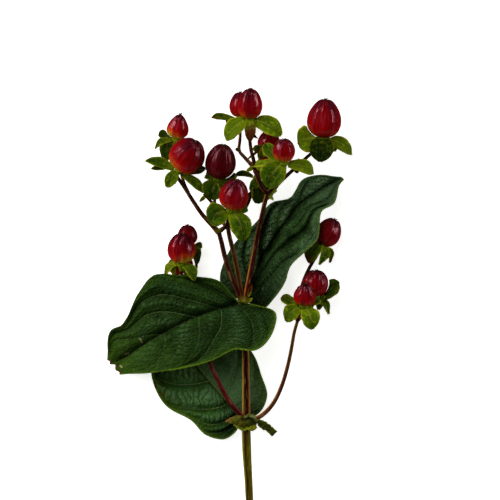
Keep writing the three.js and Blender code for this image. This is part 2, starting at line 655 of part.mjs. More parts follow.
const berryStem = new THREE.Group();
piece("stem", stem(), MATERIALS.stem, berryStem);
for (const [name, edges] of Object.entries(LEAVES)) {
  piece(`leaf_${name}`, leaf(edges), MATERIALS.leaf, berryStem);
}
piece("leaf_torn_base", tornLeaf(), MATERIALS.tornLeaf, berryStem);
for (const head of heads) {
  const group = new THREE.Group();
  group.position.copy(head.base);
  group.quaternion.copy(head.turn);
  berryStem.add(group);
  piece(`berry_${head.name}`, berry(head), MATERIALS.berry, group);
  piece(`calyx_${head.name}`, calyx(head), MATERIALS.calyx, group);
}

export default berryStem;
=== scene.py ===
"""Dresses a cut hypericum berry stem that lies on a pale table.

The stem forks into a head of three shoots and two side branches. It carries sixteen ripe berries,
each on its calyx, three large leaves and the torn base of a fourth. Sizes are in millimetres until
a piece is finished. +Y runs up the stem, +X to its right and +Z off the table.
"""

import logging
import math
from collections.abc import Callable
from dataclasses import dataclass, field
from enum import Enum

import bmesh
import bpy
from mathutils import Matrix, Vector, noise


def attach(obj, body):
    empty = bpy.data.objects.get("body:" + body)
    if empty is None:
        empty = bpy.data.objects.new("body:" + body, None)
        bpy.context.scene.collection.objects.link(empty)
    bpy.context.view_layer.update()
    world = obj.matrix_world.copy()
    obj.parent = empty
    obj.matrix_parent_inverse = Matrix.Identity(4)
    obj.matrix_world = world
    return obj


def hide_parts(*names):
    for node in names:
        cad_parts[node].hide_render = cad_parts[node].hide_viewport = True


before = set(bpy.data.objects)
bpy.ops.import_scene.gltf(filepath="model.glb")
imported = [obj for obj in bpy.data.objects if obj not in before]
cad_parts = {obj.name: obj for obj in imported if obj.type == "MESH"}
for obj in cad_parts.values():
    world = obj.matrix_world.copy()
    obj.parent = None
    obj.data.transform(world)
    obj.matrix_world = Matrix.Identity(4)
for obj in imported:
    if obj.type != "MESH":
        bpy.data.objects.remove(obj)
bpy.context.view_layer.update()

LOG = logging.getLogger("berry_stem")
MM = 0.001  # metres in a millimetre
UP = Vector((0.0, 0.0, 1.0))
GAP = 0.3  # mm of air that the solids leave between a berry, its calyx and its stalk
RECEPTACLE_HEIGHT = 1.4
STALK_END = 0.65  # mm from a receptacle to the middle of its stalk's end
SEAT = 0.35  # mm that a resting berry is pressed to its flat spot

BERRY_VALUES = ("height", "crease", "unripe", "overripe")
SEPAL_VALUES = ("edge", "rim", "along", "tone", "dry")
LEAF_VALUES = ("edge", "order", "gap", "vein", "pit", "swell", "young", "dry", "scar", "rib")
TORN_VALUES = ("edge", "tone", "dry", "pale")

Point = tuple[float, float, float]
Colour = tuple[float, float, float, float]
Finishes = tuple[bpy.types.Material, ...]
Socket = bpy.types.NodeSocket


# ---- small helpers


def to_linear(colour: str) -> Colour:
    """Turns an sRGB hex colour to the linear values that a shader reads.

    Args:
        colour: The colour as "#rrggbb".

    Returns:
        Linear red, green, blue and a full alpha.
    """
    channels = [int(colour[i : i + 2], 16) / 255 for i in (1, 3, 5)]
    linear = [c / 12.92 if c <= 0.04045 else ((c + 0.055) / 1.055) ** 2.4 for c in channels]
    return (*linear, 1.0)


def blend(start: float, end: float, share: float) -> float:
    """Returns the value at `share` of the way from `start` to `end`."""
    return start + (end - start) * share


def tinge(under: Colour, over: Colour, share: float) -> Colour:
    """Returns the colour at `share` of the way from `under` to `over`."""
    return tuple(blend(a, b, share) for a, b in zip(under, over))


def ease(low: float, high: float, value: float) -> float:
    """Returns a smooth step of `value`, 0 below `low` and 1 above `high`."""
    share = min(1.0, max(0.0, (value - low) / (high - low)))
    return share * share * (3.0 - 2.0 * share)


def bell(distance: float, breadth: float) -> float:
    """Returns a bell curve, 1 at no distance and about a third at `breadth`."""
    return math.exp(-((distance / breadth) ** 2))


def spread(values: tuple[float, ...], share: float) -> float:
    """Reads a list of values that are spread evenly over a length.

    Args:
        values: The values, from the start of the length to its end.
        share: Where to read, 0 at the start and 1 at the end.

    Returns:
        The value there.
    """
    place = min(1.0, max(0.0, share)) * (len(values) - 1)
    before = min(int(place), len(values) - 2)
    return blend(values[before], values[before + 1], place - before)


def ripple(place: Vector, size: float, seed: float) -> float:
    """Returns smooth noise between about -1 and 1, with lumps about `size` across."""
    return noise.noise(place / size + Vector((seed, 0.37 * seed, -0.71 * seed)))


class Curve:
    """A smooth curve through points, a centripetal Catmull-Rom spline."""

    SAMPLES = 200  # straight steps that its length is measured in
    TINY = 1e-4  # mm, keeps two points that coincide apart

    def __init__(self, points: list[Point] | list[Vector]) -> None:
        """Keeps the points, with one more beyond each end.

        Args:
            points: The points that the curve runs through.
        """
        inner = [Vector(point) for point in points]
        self.spans = len(inner) - 1
        self.points = [2 * inner[0] - inner[1], *inner, 2 * inner[-1] - inner[-2]]

    def at(self, share: float) -> Vector:
        """Reads the curve with the same share for each span.

        Args:
            share: 0 at the first point and 1 at the last.

        Returns:
            The point there.
        """
        place = min(1.0, max(0.0, share)) * self.spans
        span = min(int(place), self.spans - 1)
        before, start, end, after = self.points[span : span + 4]
        first, middle, last = (
            max(self.TINY, (b - a).length) ** 0.5
            for a, b in ((before, start), (start, end), (end, after))
        )
        rise = (end - start) / middle
        leave = (start - before) / first - (end - before) / (first + middle) + rise
        reach = rise - (after - start) / (middle + last) + (after - end) / last
        leave, reach, t = leave * middle, reach * middle, place - span
        return (
            start
            + leave * t
            + (3 * (end - start) - 2 * leave - reach) * t**2
            + (2 * (start - end) + leave + reach) * t**3
        )

    def even(self, steps: int) -> list[Vector]:
        """Returns `steps` + 1 points, evenly spaced along the curve's length."""
        fine = [self.at(i / self.SAMPLES) for i in range(self.SAMPLES + 1)]
        run = [0.0]
        for before, after in zip(fine, fine[1:]):
            run.append(run[-1] + (after - before).length)
        found, i = [], 0
        for step in range(steps + 1):
            target = run[-1] * step / steps
            while i < self.SAMPLES - 1 and run[i + 1] < target:
                i += 1
            share = (target - run[i]) / max(1e-9, run[i + 1] - run[i])  # a step may have no length
            found.append(fine[i].lerp(fine[i + 1], min(1.0, share)))
        return found

    def length(self) -> float:
        """Returns the curve's length."""
        points = self.even(self.SAMPLES)
        return sum((after - before).length for before, after in zip(points, points[1:]))


# ---- finishes

# Settings that many nodes share.
SMOOTH = {"interpolation_type": "SMOOTHSTEP"}
MULTIPLY = {"operation": "MULTIPLY"}
MULTIPLY_ADD = {"operation": "MULTIPLY_ADD"}
RGBA = {"data_type": "RGBA"}


def per_metre(size: float) -> float:
    """Returns the scale of a pattern whose features are `size` millimetres apart."""
    return 1 / (size * MM)


@dataclass(frozen=True)
class Finish:
    """What each finish has: its roughness, and how strongly and in which tint it mirrors."""

    roughness: float = 0.5
    mirror: float = 0.5  # the shader's specular level
    sheen: str = "#ffffff"


class Shader:
    """The nodes of a material, or of the light around the stem, while they are wired.

    A MapRange node is given the value, the two ends of the range that it comes from and, where it
    isn't 0 to 1, those of the range that it is turned to. A pattern that follows `flow` has its
    scale in millimetres. One on object coordinates has it in metres, and so have all depths.
    """

    VALUE = 2  # the output of an Attribute node that gives a vertex's named value,
    VECTOR = 1  # and the one that gives its named vector
    OBJECT = 3  # the output of a TexCoord node that gives the place in metres
    TEXTURE_COLOUR = 1
    SHARE, UNDER, OVER, MIXED = 0, 6, 7, 2  # the inputs of a Mix node for colours, and its output

    def __init__(self, owner: bpy.types.Material | bpy.types.World) -> None:
        """Starts with no nodes.

        Args:
            owner: What the nodes belong to.
        """
        self.owner = owner
        self.owner.use_nodes = True
        self.tree = self.owner.node_tree
        self.tree.nodes.clear()

    def add(
        self, kind: str, inputs: dict | tuple = (), output: int = 0, **settings: object
    ) -> Socket | None:
        """Adds a node with its settings and links.

        Args:
            kind: The node's type, less the "ShaderNode" that each type starts with.
            inputs: A value, a hex colour or the socket that feeds it for each input, by its name
                or number, or in the node's own order.
            output: The number of the output that is wanted.
            **settings: Properties of the node.

        Returns:
            That output, or None for a node that has none.
        """
        node = self.tree.nodes.new(f"ShaderNode{kind}")
        for name, value in settings.items():
            setattr(node, name, value)
        for key, value in inputs.items() if isinstance(inputs, dict) else enumerate(inputs):
            if isinstance(value, Socket):
                self.tree.links.new(value, node.inputs[key])
            elif isinstance(value, str):
                node.inputs[key].default_value = to_linear(value)
            else:
                node.inputs[key].default_value = value
        return node.outputs[output] if len(node.outputs) else None

    def close(
        self, finish: Finish, colour: Socket | str, relief: Socket, more: dict | None = None
    ) -> bpy.types.Material:
        """Ends a material with its surface.

        Args:
            finish: The finish, for its roughness and how it mirrors.
            colour: Its colour.
            relief: Its bump.
            more: Further inputs of the surface shader, which come before these.

        Returns:
            The finished material.
        """
        surface = {
            "Base Color": colour, "Normal": relief, "Roughness": finish.roughness,
            "Specular IOR Level": finish.mirror, "Specular Tint": finish.sheen, **(more or {}),
        }
        self.add("OutputMaterial", {"Surface": self.add("BsdfPrincipled", surface)})
        return self.owner


@dataclass(frozen=True)
class BerrySkin(Finish):
    """Smooth waxed berry skin: deep red gloss, streaked, with bloom and painted highlight, yellow
    where unripe.
    """

    bright: str = "#a40703"
    body: str = "#790307"
    bloom_and_painted_highlight: str = "#8e2a40"
    crown: str = "#38020b"
    scar: str = "#1c0a06"
    overripe: str = "#300003"
    orange: str = "#b03a0c"
    yellow: str = "#b08c18"
    sheen: str = "#ffa2ae"
    roughness: float = 0.1
    streak: float = 0.8  # mm between the fine lengthwise streaks
    pore: float = 0.35  # mm between the pores of the skin
    fold: float = 1.8  # mm between the shallow lengthwise folds
    blotch: float = 4.0  # mm between the glossier and duller patches
    pore_depth: float = 0.05
    fold_depth: float = 0.5
    pucker: float = 0.4  # mm of relief around the crown's dip

    def make(self) -> bpy.types.Material:
        """Returns the material."""
        s = Shader(bpy.data.materials.new("berry_skin_waxed"))
        height, crease, unripe, overripe = (
            s.add("Attribute", output=s.VALUE, attribute_name=name) for name in BERRY_VALUES
        )
        flow = s.add("Attribute", output=s.VECTOR, attribute_name="flow")
        streaks = s.add("TexNoise", {"Vector": flow, "Scale": 1 / self.streak, "Detail": 4.0})
        blotch = s.add("TexNoise", {"Vector": flow, "Scale": 1 / self.blotch, "Detail": 2.0})
        shifted = s.add("Math", (height, blotch), operation="ADD")
        low = s.add("MapRange", (shifted, 0.62, 1.05), **SMOOTH)
        high = s.add("MapRange", (shifted, 1.02, 1.45), **SMOOTH)
        dark = s.add("MapRange", (streaks, 0.48, 0.72, 0.0, 0.42))
        # painted highlight: the mauve streaks are partly waxy bloom and partly painted highlight
        bloom_and_highlight_streaks = s.add("MapRange", (streaks, 0.47, 0.3, 0.0, 0.34))
        ripening = s.add("Math", (streaks, 1.1, unripe), **MULTIPLY_ADD)
        orange = s.add("MapRange", (ripening, 0.72, 1.12), **SMOOTH)
        yellow = s.add("MapRange", (ripening, 1.12, 1.5), **SMOOTH)
        # painted shade: the creases are darkened towards the crown's colour
        shade = s.add("Math", (crease, 0.6), **MULTIPLY)
        ragged = s.add("Math", (streaks, 0.012, height), **MULTIPLY_ADD)
        scar = s.add("MapRange", (ragged, 0.987, 1.0, 0.0, 0.9), **SMOOTH)
        colour = self.bright
        for factor, over in (
            (low, self.body), (high, self.crown), (bloom_and_highlight_streaks, self.bloom_and_painted_highlight), (dark, self.crown),
            (overripe, self.overripe), (orange, self.orange), (yellow, self.yellow),
            (shade, self.crown), (scar, self.scar),
        ):
            colour = s.add("Mix", {s.SHARE: factor, s.UNDER: colour, s.OVER: over}, s.MIXED, **RGBA)
        pores = s.add("TexNoise", {"Vector": flow, "Scale": 1 / self.pore, "Detail": 2.0})
        folds = s.add("TexNoise", {"Vector": flow, "Scale": 1 / self.fold, "Detail": 2.0})
        patchy = (blotch, 0.3, 0.7, self.roughness - 0.03, self.roughness + 0.08)
        rough = s.add("MapRange", patchy)
        rough = s.add("Math", (overripe, 0.14, rough), **MULTIPLY_ADD)
        bump = s.add("Bump", {"Height": pores, "Strength": 0.25, "Distance": self.pore_depth * MM})
        deep = self.fold_depth * MM
        bump = s.add("Bump", {"Height": folds, "Strength": 1.0, "Distance": deep, "Normal": bump})
        puckered = s.add("MapRange", (height, 0.8, 0.94), **SMOOTH)
        pucker = s.add("Math", (streaks, puckered), **MULTIPLY)
        deep = self.pucker * MM
        bump = s.add("Bump", {"Height": pucker, "Strength": 1.0, "Distance": deep, "Normal": bump})
        return s.close(self, colour, bump, {"Roughness": rough})


@dataclass(frozen=True)
class DriedStyle(Finish):
    """Withered ends of the styles and the scar under them: brown-black, matt and brittle."""

    dark: str = "#140805"
    tan: str = "#6a4428"
    roughness: float = 0.75
    mirror: float = 0.2
    grain: float = 0.7  # mm between the tan patches
    relief: float = 0.1

    def make(self) -> bpy.types.Material:
        """Returns the material."""
        s = Shader(bpy.data.materials.new("dried_style"))
        place = s.add("TexCoord", output=s.OBJECT)
        grain = s.add("TexNoise", {"Vector": place, "Scale": per_metre(self.grain), "Detail": 3.0})
        patch = s.add("MapRange", (grain, 0.45, 0.7))
        bump = s.add("Bump", {"Height": grain, "Strength": 0.5, "Distance": self.relief * MM})
        grained = {s.SHARE: patch, s.UNDER: self.dark, s.OVER: self.tan}
        colour = s.add("Mix", grained, s.MIXED, **RGBA)
        return s.close(self, colour, bump)


@dataclass(frozen=True)
class SepalBlade(Finish):
    """Herbaceous blade of a sepal or bract: mottled yellow-green, faintly veined, yellow-rimmed."""

    green: str = "#2e4e03"
    centre: str = "#102602"
    shade: str = "#081001"
    yellow: str = "#71840a"
    rim: str = "#b0a622"
    rib: str = "#9aa444"
    dry: str = "#4a200a"
    sheen: str = "#d4e088"
    roughness: float = 0.34
    mirror: float = 0.12
    mottle: float = 1.3  # mm between the darker patches
    grain: float = 0.4  # mm between the finest bumps
    relief: float = 0.16
    veins: float = 7.0  # from edge to edge

    def make(self) -> bpy.types.Material:
        """Returns the material."""
        s = Shader(bpy.data.materials.new("sepal_blade"))
        edge, rim, along, tone, dry = (
            s.add("Attribute", output=s.VALUE, attribute_name=name) for name in SEPAL_VALUES
        )
        flow = s.add("Attribute", output=s.VECTOR, attribute_name="flow")
        place = s.add("TexCoord", output=s.OBJECT)
        across = s.add("SeparateXYZ", (flow,))
        mottle = {"Vector": place, "Scale": per_metre(self.mottle), "Detail": 4.0}
        patches = s.add("TexNoise", mottle)
        middle = s.add("MapRange", (edge, 0.98, 0.1, 0.0, 0.8))
        centre = s.add("Math", (middle, patches), **MULTIPLY)
        centre = s.add("MapRange", (centre, 0.2, 0.38, 0.0, 0.95), **SMOOTH)
        light = s.add("MapRange", (patches, 0.5, 0.66, 0.0, 0.8), **SMOOTH)
        # the darker tones, which are partly painted shade, show fewer pale patches
        tone_lightness = s.add("MapRange", (tone, -0.6, 0.2, 0.2, 1.0))
        light = s.add("Math", (light, tone_lightness), **MULTIPLY)
        wobble = s.add("Math", (patches, 0.16, across), **MULTIPLY_ADD)
        lines = s.add("Math", (wobble, 2 * math.pi * self.veins), **MULTIPLY)
        lines = s.add("Math", (lines,), operation="COSINE")
        lines = s.add("MapRange", (lines, 0.72, 1.0, 0.0, 0.4))
        from_rib = s.add("Math", (across,), operation="ABSOLUTE")
        rib = s.add("MapRange", (from_rib, 0.05, 0.0), **SMOOTH)
        rib_end = s.add("MapRange", (along, 0.75, 0.1, 0.0, 0.6))
        rib = s.add("Math", (rib, rib_end), **MULTIPLY)
        pale = s.add("MapRange", (tone, 0.0, 1.0, 0.0, 0.9))
        # painted shade: the darker the tone, the more the blade is mixed to the shade colour
        deep = s.add("MapRange", (tone, 0.0, -1.0, 0.0, 0.95))
        uneven = s.add("MapRange", (patches, 0.42, 0.62, 1.0, 0.65))
        deep = s.add("Math", (deep, uneven), **MULTIPLY)
        root = s.add("MapRange", (along, 0.34, 0.04, 0.0, 0.75))
        edging = s.add("MapRange", (tone, 0.3, -1.0, 0.85, 0.2))
        edging = s.add("Math", (edging, rim), **MULTIPLY)
        worn = s.add("MapRange", (patches, 0.36, 0.6, 0.35, 1.0))
        edging = s.add("Math", (edging, worn), **MULTIPLY)
        ragged = s.add("Math", (patches, 0.7, dry), **MULTIPLY_ADD)
        withered = s.add("MapRange", (ragged, 0.6, 0.95), **SMOOTH)
        colour = self.green
        for factor, over in (
            (centre, self.centre), (light, self.yellow), (lines, self.yellow), (pale, self.yellow),
            (root, self.yellow), (rib, self.rib), (deep, self.shade), (edging, self.rim),
            (withered, self.dry),
        ):
            colour = s.add("Mix", {s.SHARE: factor, s.UNDER: colour, s.OVER: over}, s.MIXED, **RGBA)
        fine = s.add("TexNoise", {"Vector": place, "Scale": per_metre(self.grain), "Detail": 2.0})
        relief = s.add("Math", (lines, 1.5, fine), **MULTIPLY_ADD)
        relief = s.add("Math", (patches, 2.0, relief), **MULTIPLY_ADD)
        bump = s.add("Bump", {"Height": relief, "Strength": 0.8, "Distance": self.relief * MM})
        return s.close(self, colour, bump)


@dataclass(frozen=True)
class LeafFace(Finish):
    """Leathery face of a leaf: dark green, with painted grey-green sheen on its bulges, pale veins
    and a thin rim.
    """

    name: str = "leaf_face_front_leaf"
    green: str = "#182e0a"
    # deep: the darker patches' colour, and the painted shade in valleys, beside the midrib and at
    # the base
    deep: str = "#071203"
    cool: str = "#183018"
    # painted sheen: the pale grey-green painted on the tops of the bulges
    bulge: str = "#426038"
    vein: str = "#566e3e"
    rim: str = "#5d7512"
    young: str = "#38560a"
    midrib: str = "#71842a"
    dry: str = "#5a3014"
    scar: str = "#a08c64"
    net: str = "#35501a"
    net_line: float = 0.34  # how strongly the smallest veins show
    sheen: str = "#b4dc94"
    roughness: float = 0.36
    mirror: float = 0.16
    mottle: float = 9.0  # mm between the larger patches
    grain: float = 0.5  # mm between the fine pits
    cell: float = 1.2  # mm between the smallest veins, drawn twice as coarse so that they show
    blister: float = 0.24  # mm that the skin rises between them
    pit: float = 0.12
    vein_half: float = 0.2  # mm, half the breadth of a side vein

    def make(self) -> bpy.types.Material:
        """Returns the material."""
        s = Shader(bpy.data.materials.new(self.name))
        edge, order, gap, vein, pit, swell, young, dry, scar, rib = (
            s.add("Attribute", output=s.VALUE, attribute_name=name) for name in LEAF_VALUES
        )
        flow = s.add("Attribute", output=s.VECTOR, attribute_name="flow")
        place = s.add("TexCoord", output=s.OBJECT)
        mottle = {"Vector": place, "Scale": per_metre(self.mottle), "Detail": 5.0}
        patches = s.add("TexNoise", mottle)
        fine = s.add("TexNoise", {"Vector": place, "Scale": per_metre(self.grain), "Detail": 3.0})
        dark = s.add("MapRange", (patches, 0.48, 0.66, 0.0, 0.8), **SMOOTH)
        cool = s.add("MapRange", (patches, 0.5, 0.34, 0.0, 0.8), **SMOOTH)
        # painted sheen: the bulges between the valleys are mixed to the bulge colour
        sheen = s.add("Math", (swell, fine), **MULTIPLY)
        sheen = s.add("MapRange", (sheen, 0.2, 0.6, 0.0, 0.75), **SMOOTH)
        slow = {"Vector": flow, "Scale": 0.5 / self.cell, "Detail": 2.0}
        bend = s.add("TexNoise", slow, s.TEXTURE_COLOUR)
        reach = (1.6 * self.cell,) * 3
        bent = s.add("VectorMath", (bend, reach, flow), **MULTIPLY_ADD)
        grid = {"Vector": bent, "Scale": 1 / self.cell}
        cells = s.add("TexVoronoi", grid, feature="DISTANCE_TO_EDGE")
        net = s.add("MapRange", (cells, 0.1, 0.02, 0.0, self.net_line))
        tuft = s.add("MapRange", (cells, 0.0, 0.3), **SMOOTH)
        away = s.add("Math", (order, 0.5), operation="PINGPONG")
        away = s.add("Math", (away, gap), **MULTIPLY)
        line = s.add("MapRange", (away, self.vein_half, 0.0), **SMOOTH)
        line = s.add("Math", (line, vein), **MULTIPLY)
        across = s.add("SeparateXYZ", (flow,))
        across = s.add("Math", (across,), operation="ABSOLUTE")
        stripe = s.add("MapRange", (across, 0.34, 0.12), **SMOOTH)
        stripe = s.add("Math", (stripe, rib), **MULTIPLY)
        ragged = s.add("Math", (fine, 0.5, dry), **MULTIPLY_ADD)
        withered = s.add("MapRange", (ragged, 0.6, 0.85), **SMOOTH)
        colour = self.green
        for factor, over in (
            (dark, self.deep), (cool, self.cool), (sheen, self.bulge), (young, self.young),
            (net, self.net), (pit, self.deep), (line, self.vein), (stripe, self.midrib),
            (edge, self.rim), (withered, self.dry), (scar, self.scar),
        ):
            colour = s.add("Mix", {s.SHARE: factor, s.UNDER: colour, s.OVER: over}, s.MIXED, **RGBA)
        pits = s.add("TexVoronoi", {"Vector": flow, "Scale": 1 / self.grain})
        relief = s.add("Math", (pits, -0.5, fine), **MULTIPLY_ADD)
        bump = s.add("Bump", {"Height": relief, "Strength": 0.5, "Distance": self.pit * MM})
        blister = {"Height": tuft, "Strength": 1.0, "Distance": self.blister * MM, "Normal": bump}
        bump = s.add("Bump", blister)
        patchy = (fine, 0.2, 0.8, self.roughness - 0.06, self.roughness + 0.1)
        rough = s.add("MapRange", patchy)
        return s.close(self, colour, bump, {"Roughness": rough})


# painted light: the upper and lower leaves have paler copies of the leaf face, making up for the
# shade they lie in
UPPER_LEAF_FACE_PAINTED_LIGHTER = LeafFace(
    name="leaf_face_upper_leaf_painted_lighter", green="#3a5a2a", deep="#0c1a06", cool="#3f6038", bulge="#7e9c70",
    young="#64845a", net="#1f3410", net_line=0.25, mirror=0.36, cell=1.6, blister=0.35,
)
LOWER_LEAF_FACE_PAINTED_LIGHTER = LeafFace(
    name="leaf_face_lower_leaf_painted_lighter", green="#2e5418", deep="#0a1a04", cool="#3a6038", bulge="#5c8050",
    vein="#84985c", young="#42600c", net="#1e3812", net_line=0.2, mirror=0.3, cell=1.3, blister=0.2,
)
LEAF_UNDERSIDE = LeafFace(
    name="leaf_underside", green="#3d5528", deep="#33481f", cool="#435c34", bulge="#4c653a",
    vein="#748454", young="#587428", midrib="#8a9658", net="#566c3c", roughness=0.6,
)


@dataclass(frozen=True)
class TornBlade(Finish):
    """Bruised, dried leaf tissue: crumpled olive-yellow with tan and whitish torn edges, painted
    darker in its shade.
    """

    olive: str = "#5c4e0a"
    green: str = "#364808"
    dark: str = "#141e03"
    bright: str = "#787e0c"
    tan: str = "#6e5220"
    pale: str = "#727c4a"
    roughness: float = 0.55
    mirror: float = 0.08
    patch: float = 1.2  # mm between the patches
    relief: float = 0.3

    def make(self) -> bpy.types.Material:
        """Returns the material."""
        s = Shader(bpy.data.materials.new("torn_leaf"))
        edge, tone, dry, pale = (
            s.add("Attribute", output=s.VALUE, attribute_name=name) for name in TORN_VALUES
        )
        place = s.add("TexCoord", output=s.OBJECT)
        mottle = {"Vector": place, "Scale": per_metre(self.patch), "Detail": 5.0}
        patches = s.add("TexNoise", mottle)
        green = s.add("MapRange", (patches, 0.55, 0.42, 0.0, 0.9), **SMOOTH)
        # painted shade: darker by the strip's tone and in the hollows of its crumples
        dark = s.add("Math", (patches, 1.0, tone), **MULTIPLY_ADD)
        dark = s.add("MapRange", (dark, 0.72, 1.14, 0.0, 0.9), **SMOOTH)
        rim = s.add("Math", (patches, 0.3, edge), **MULTIPLY_ADD)
        rim = s.add("MapRange", (rim, 0.62, 0.95, 0.0, 0.9), **SMOOTH)
        ragged = s.add("Math", (patches, 0.6, dry), **MULTIPLY_ADD)
        tan = s.add("MapRange", (ragged, 0.6, 1.0), **SMOOTH)
        faded = s.add("MapRange", (patches, 0.4, 0.6, 0.15, 1.0))
        faded = s.add("Math", (faded, pale), **MULTIPLY)
        colour = self.olive
        for factor, over in (
            (green, self.green), (dark, self.dark), (rim, self.bright), (tan, self.tan),
            (faded, self.pale),
        ):
            colour = s.add("Mix", {s.SHARE: factor, s.UNDER: colour, s.OVER: over}, s.MIXED, **RGBA)
        bump = s.add("Bump", {"Height": patches, "Strength": 0.6, "Distance": self.relief * MM})
        return s.close(self, colour, bump)


@dataclass(frozen=True)
class YoungBark(Finish):
    """Smooth bark of a first-year shoot: red-brown to olive, finely streaked, half gloss."""

    dark: str = "#1c0704"
    pale: str = "#a8864a"
    roughness: float = 0.36
    mirror: float = 0.1
    streak: float = 0.5  # mm between the streaks
    wart: float = 1.6  # mm between the corky dots
    relief: float = 0.12

    def make(self) -> bpy.types.Material:
        """Returns the material."""
        s = Shader(bpy.data.materials.new("young_bark"))
        tint = s.add("Attribute", attribute_name="tint")
        flow = s.add("Attribute", output=s.VECTOR, attribute_name="flow")
        streaks = s.add("TexNoise", {"Vector": flow, "Scale": 1 / self.streak, "Detail": 4.0})
        warts = s.add("TexVoronoi", {"Vector": flow, "Scale": 1 / self.wart})
        dark = s.add("MapRange", (streaks, 0.5, 0.72, 0.0, 0.75))
        pale = s.add("MapRange", (streaks, 0.42, 0.26, 0.0, 0.4))
        dots = s.add("MapRange", (warts, 0.16, 0.08, 0.0, 0.5))
        colour = tint
        for factor, over in ((dark, self.dark), (pale, self.pale), (dots, self.pale)):
            colour = s.add("Mix", {s.SHARE: factor, s.UNDER: colour, s.OVER: over}, s.MIXED, **RGBA)
        relief = s.add("Math", (dots, 0.8, streaks), **MULTIPLY_ADD)
        bump = s.add("Bump", {"Height": relief, "Strength": 0.5, "Distance": self.relief * MM})
        return s.close(self, colour, bump)


@dataclass(frozen=True)
class CutPith(Finish):
    """Freshly cut end grain: pale cream wood with a browner pith and fine rays."""

    wood: str = "#cdbd86"
    pith: str = "#8a6f3c"
    roughness: float = 0.8
    ray: float = 0.35  # mm between the rays, drawn coarser than they grow so that they show
    relief: float = 0.1

    def make(self) -> bpy.types.Material:
        """Returns the material."""
        s = Shader(bpy.data.materials.new("cut_pith"))
        place = s.add("TexCoord", output=s.OBJECT)
        grain = s.add("TexNoise", {"Vector": place, "Scale": per_metre(self.ray), "Detail": 4.0})
        patch = s.add("MapRange", (grain, 0.4, 0.65))
        rayed = {s.SHARE: patch, s.UNDER: self.wood, s.OVER: self.pith}
        colour = s.add("Mix", rayed, s.MIXED, **RGBA)
        bump = s.add("Bump", {"Height": grain, "Strength": 0.6, "Distance": self.relief * MM})
        return s.close(self, colour, bump)


@dataclass(frozen=True)
class PaintedTable(Finish):
    """Matt white-painted table top: a plain pale ground with the faintest roller grain."""

    paint: str = "#f6f6f5"
    roughness: float = 0.9
    mirror: float = 0.1
    grain: float = 1.5  # mm between the roller's dots
    relief: float = 0.05
    glow: float = 0.85  # light of its own, so that its ground stays even and pale

    def make(self) -> bpy.types.Material:
        """Returns the material."""
        s = Shader(bpy.data.materials.new("painted_table"))
        place = s.add("TexCoord", output=s.OBJECT)
        grain = s.add("TexNoise", {"Vector": place, "Scale": per_metre(self.grain)})
        bump = s.add("Bump", {"Height": grain, "Strength": 0.05, "Distance": self.relief * MM})
        glow = {"Emission Color": self.paint, "Emission Strength": self.glow}
        return s.close(self, self.paint, bump, glow)


# ---- pieces under construction


@dataclass
class Spot:
    """A vertex while it is placed.

    `flow` is its place in the surface's own run, in millimetres, which the patterns follow.
    """

    point: Vector
    flow: Vector
    values: dict[str, float] = field(default_factory=dict)
    tint: Colour | None = None


RingPlace = Callable[[float, float, Vector, Vector], Spot]  # share along, angle, middle, way out


def faces_of(verts: list[bmesh.types.BMVert]) -> list[bmesh.types.BMFace]:
    """Returns the faces around some vertices, each once and in the same order every run."""
    return list(dict.fromkeys(face for vert in verts for face in vert.link_faces))


def put(name: str, data: bpy.types.ID) -> bpy.types.Object:
    """Puts a mesh, light or camera into the scene and returns its object."""
    thing = bpy.data.objects.new(name, data)
    bpy.context.scene.collection.objects.link(thing)
    return thing


def put_mesh(name: str, mesh: bmesh.types.BMesh, finishes: Finishes) -> bpy.types.Object:
    """Puts a finished bmesh into the scene, and frees it.

    Args:
        name: The object's name.
        mesh: The bmesh, in metres.
        finishes: Its materials.

    Returns:
        The object.
    """
    data = bpy.data.meshes.new(name)
    mesh.to_mesh(data)
    mesh.free()
    for finish in finishes:
        data.materials.append(finish)
    return put(name, data)


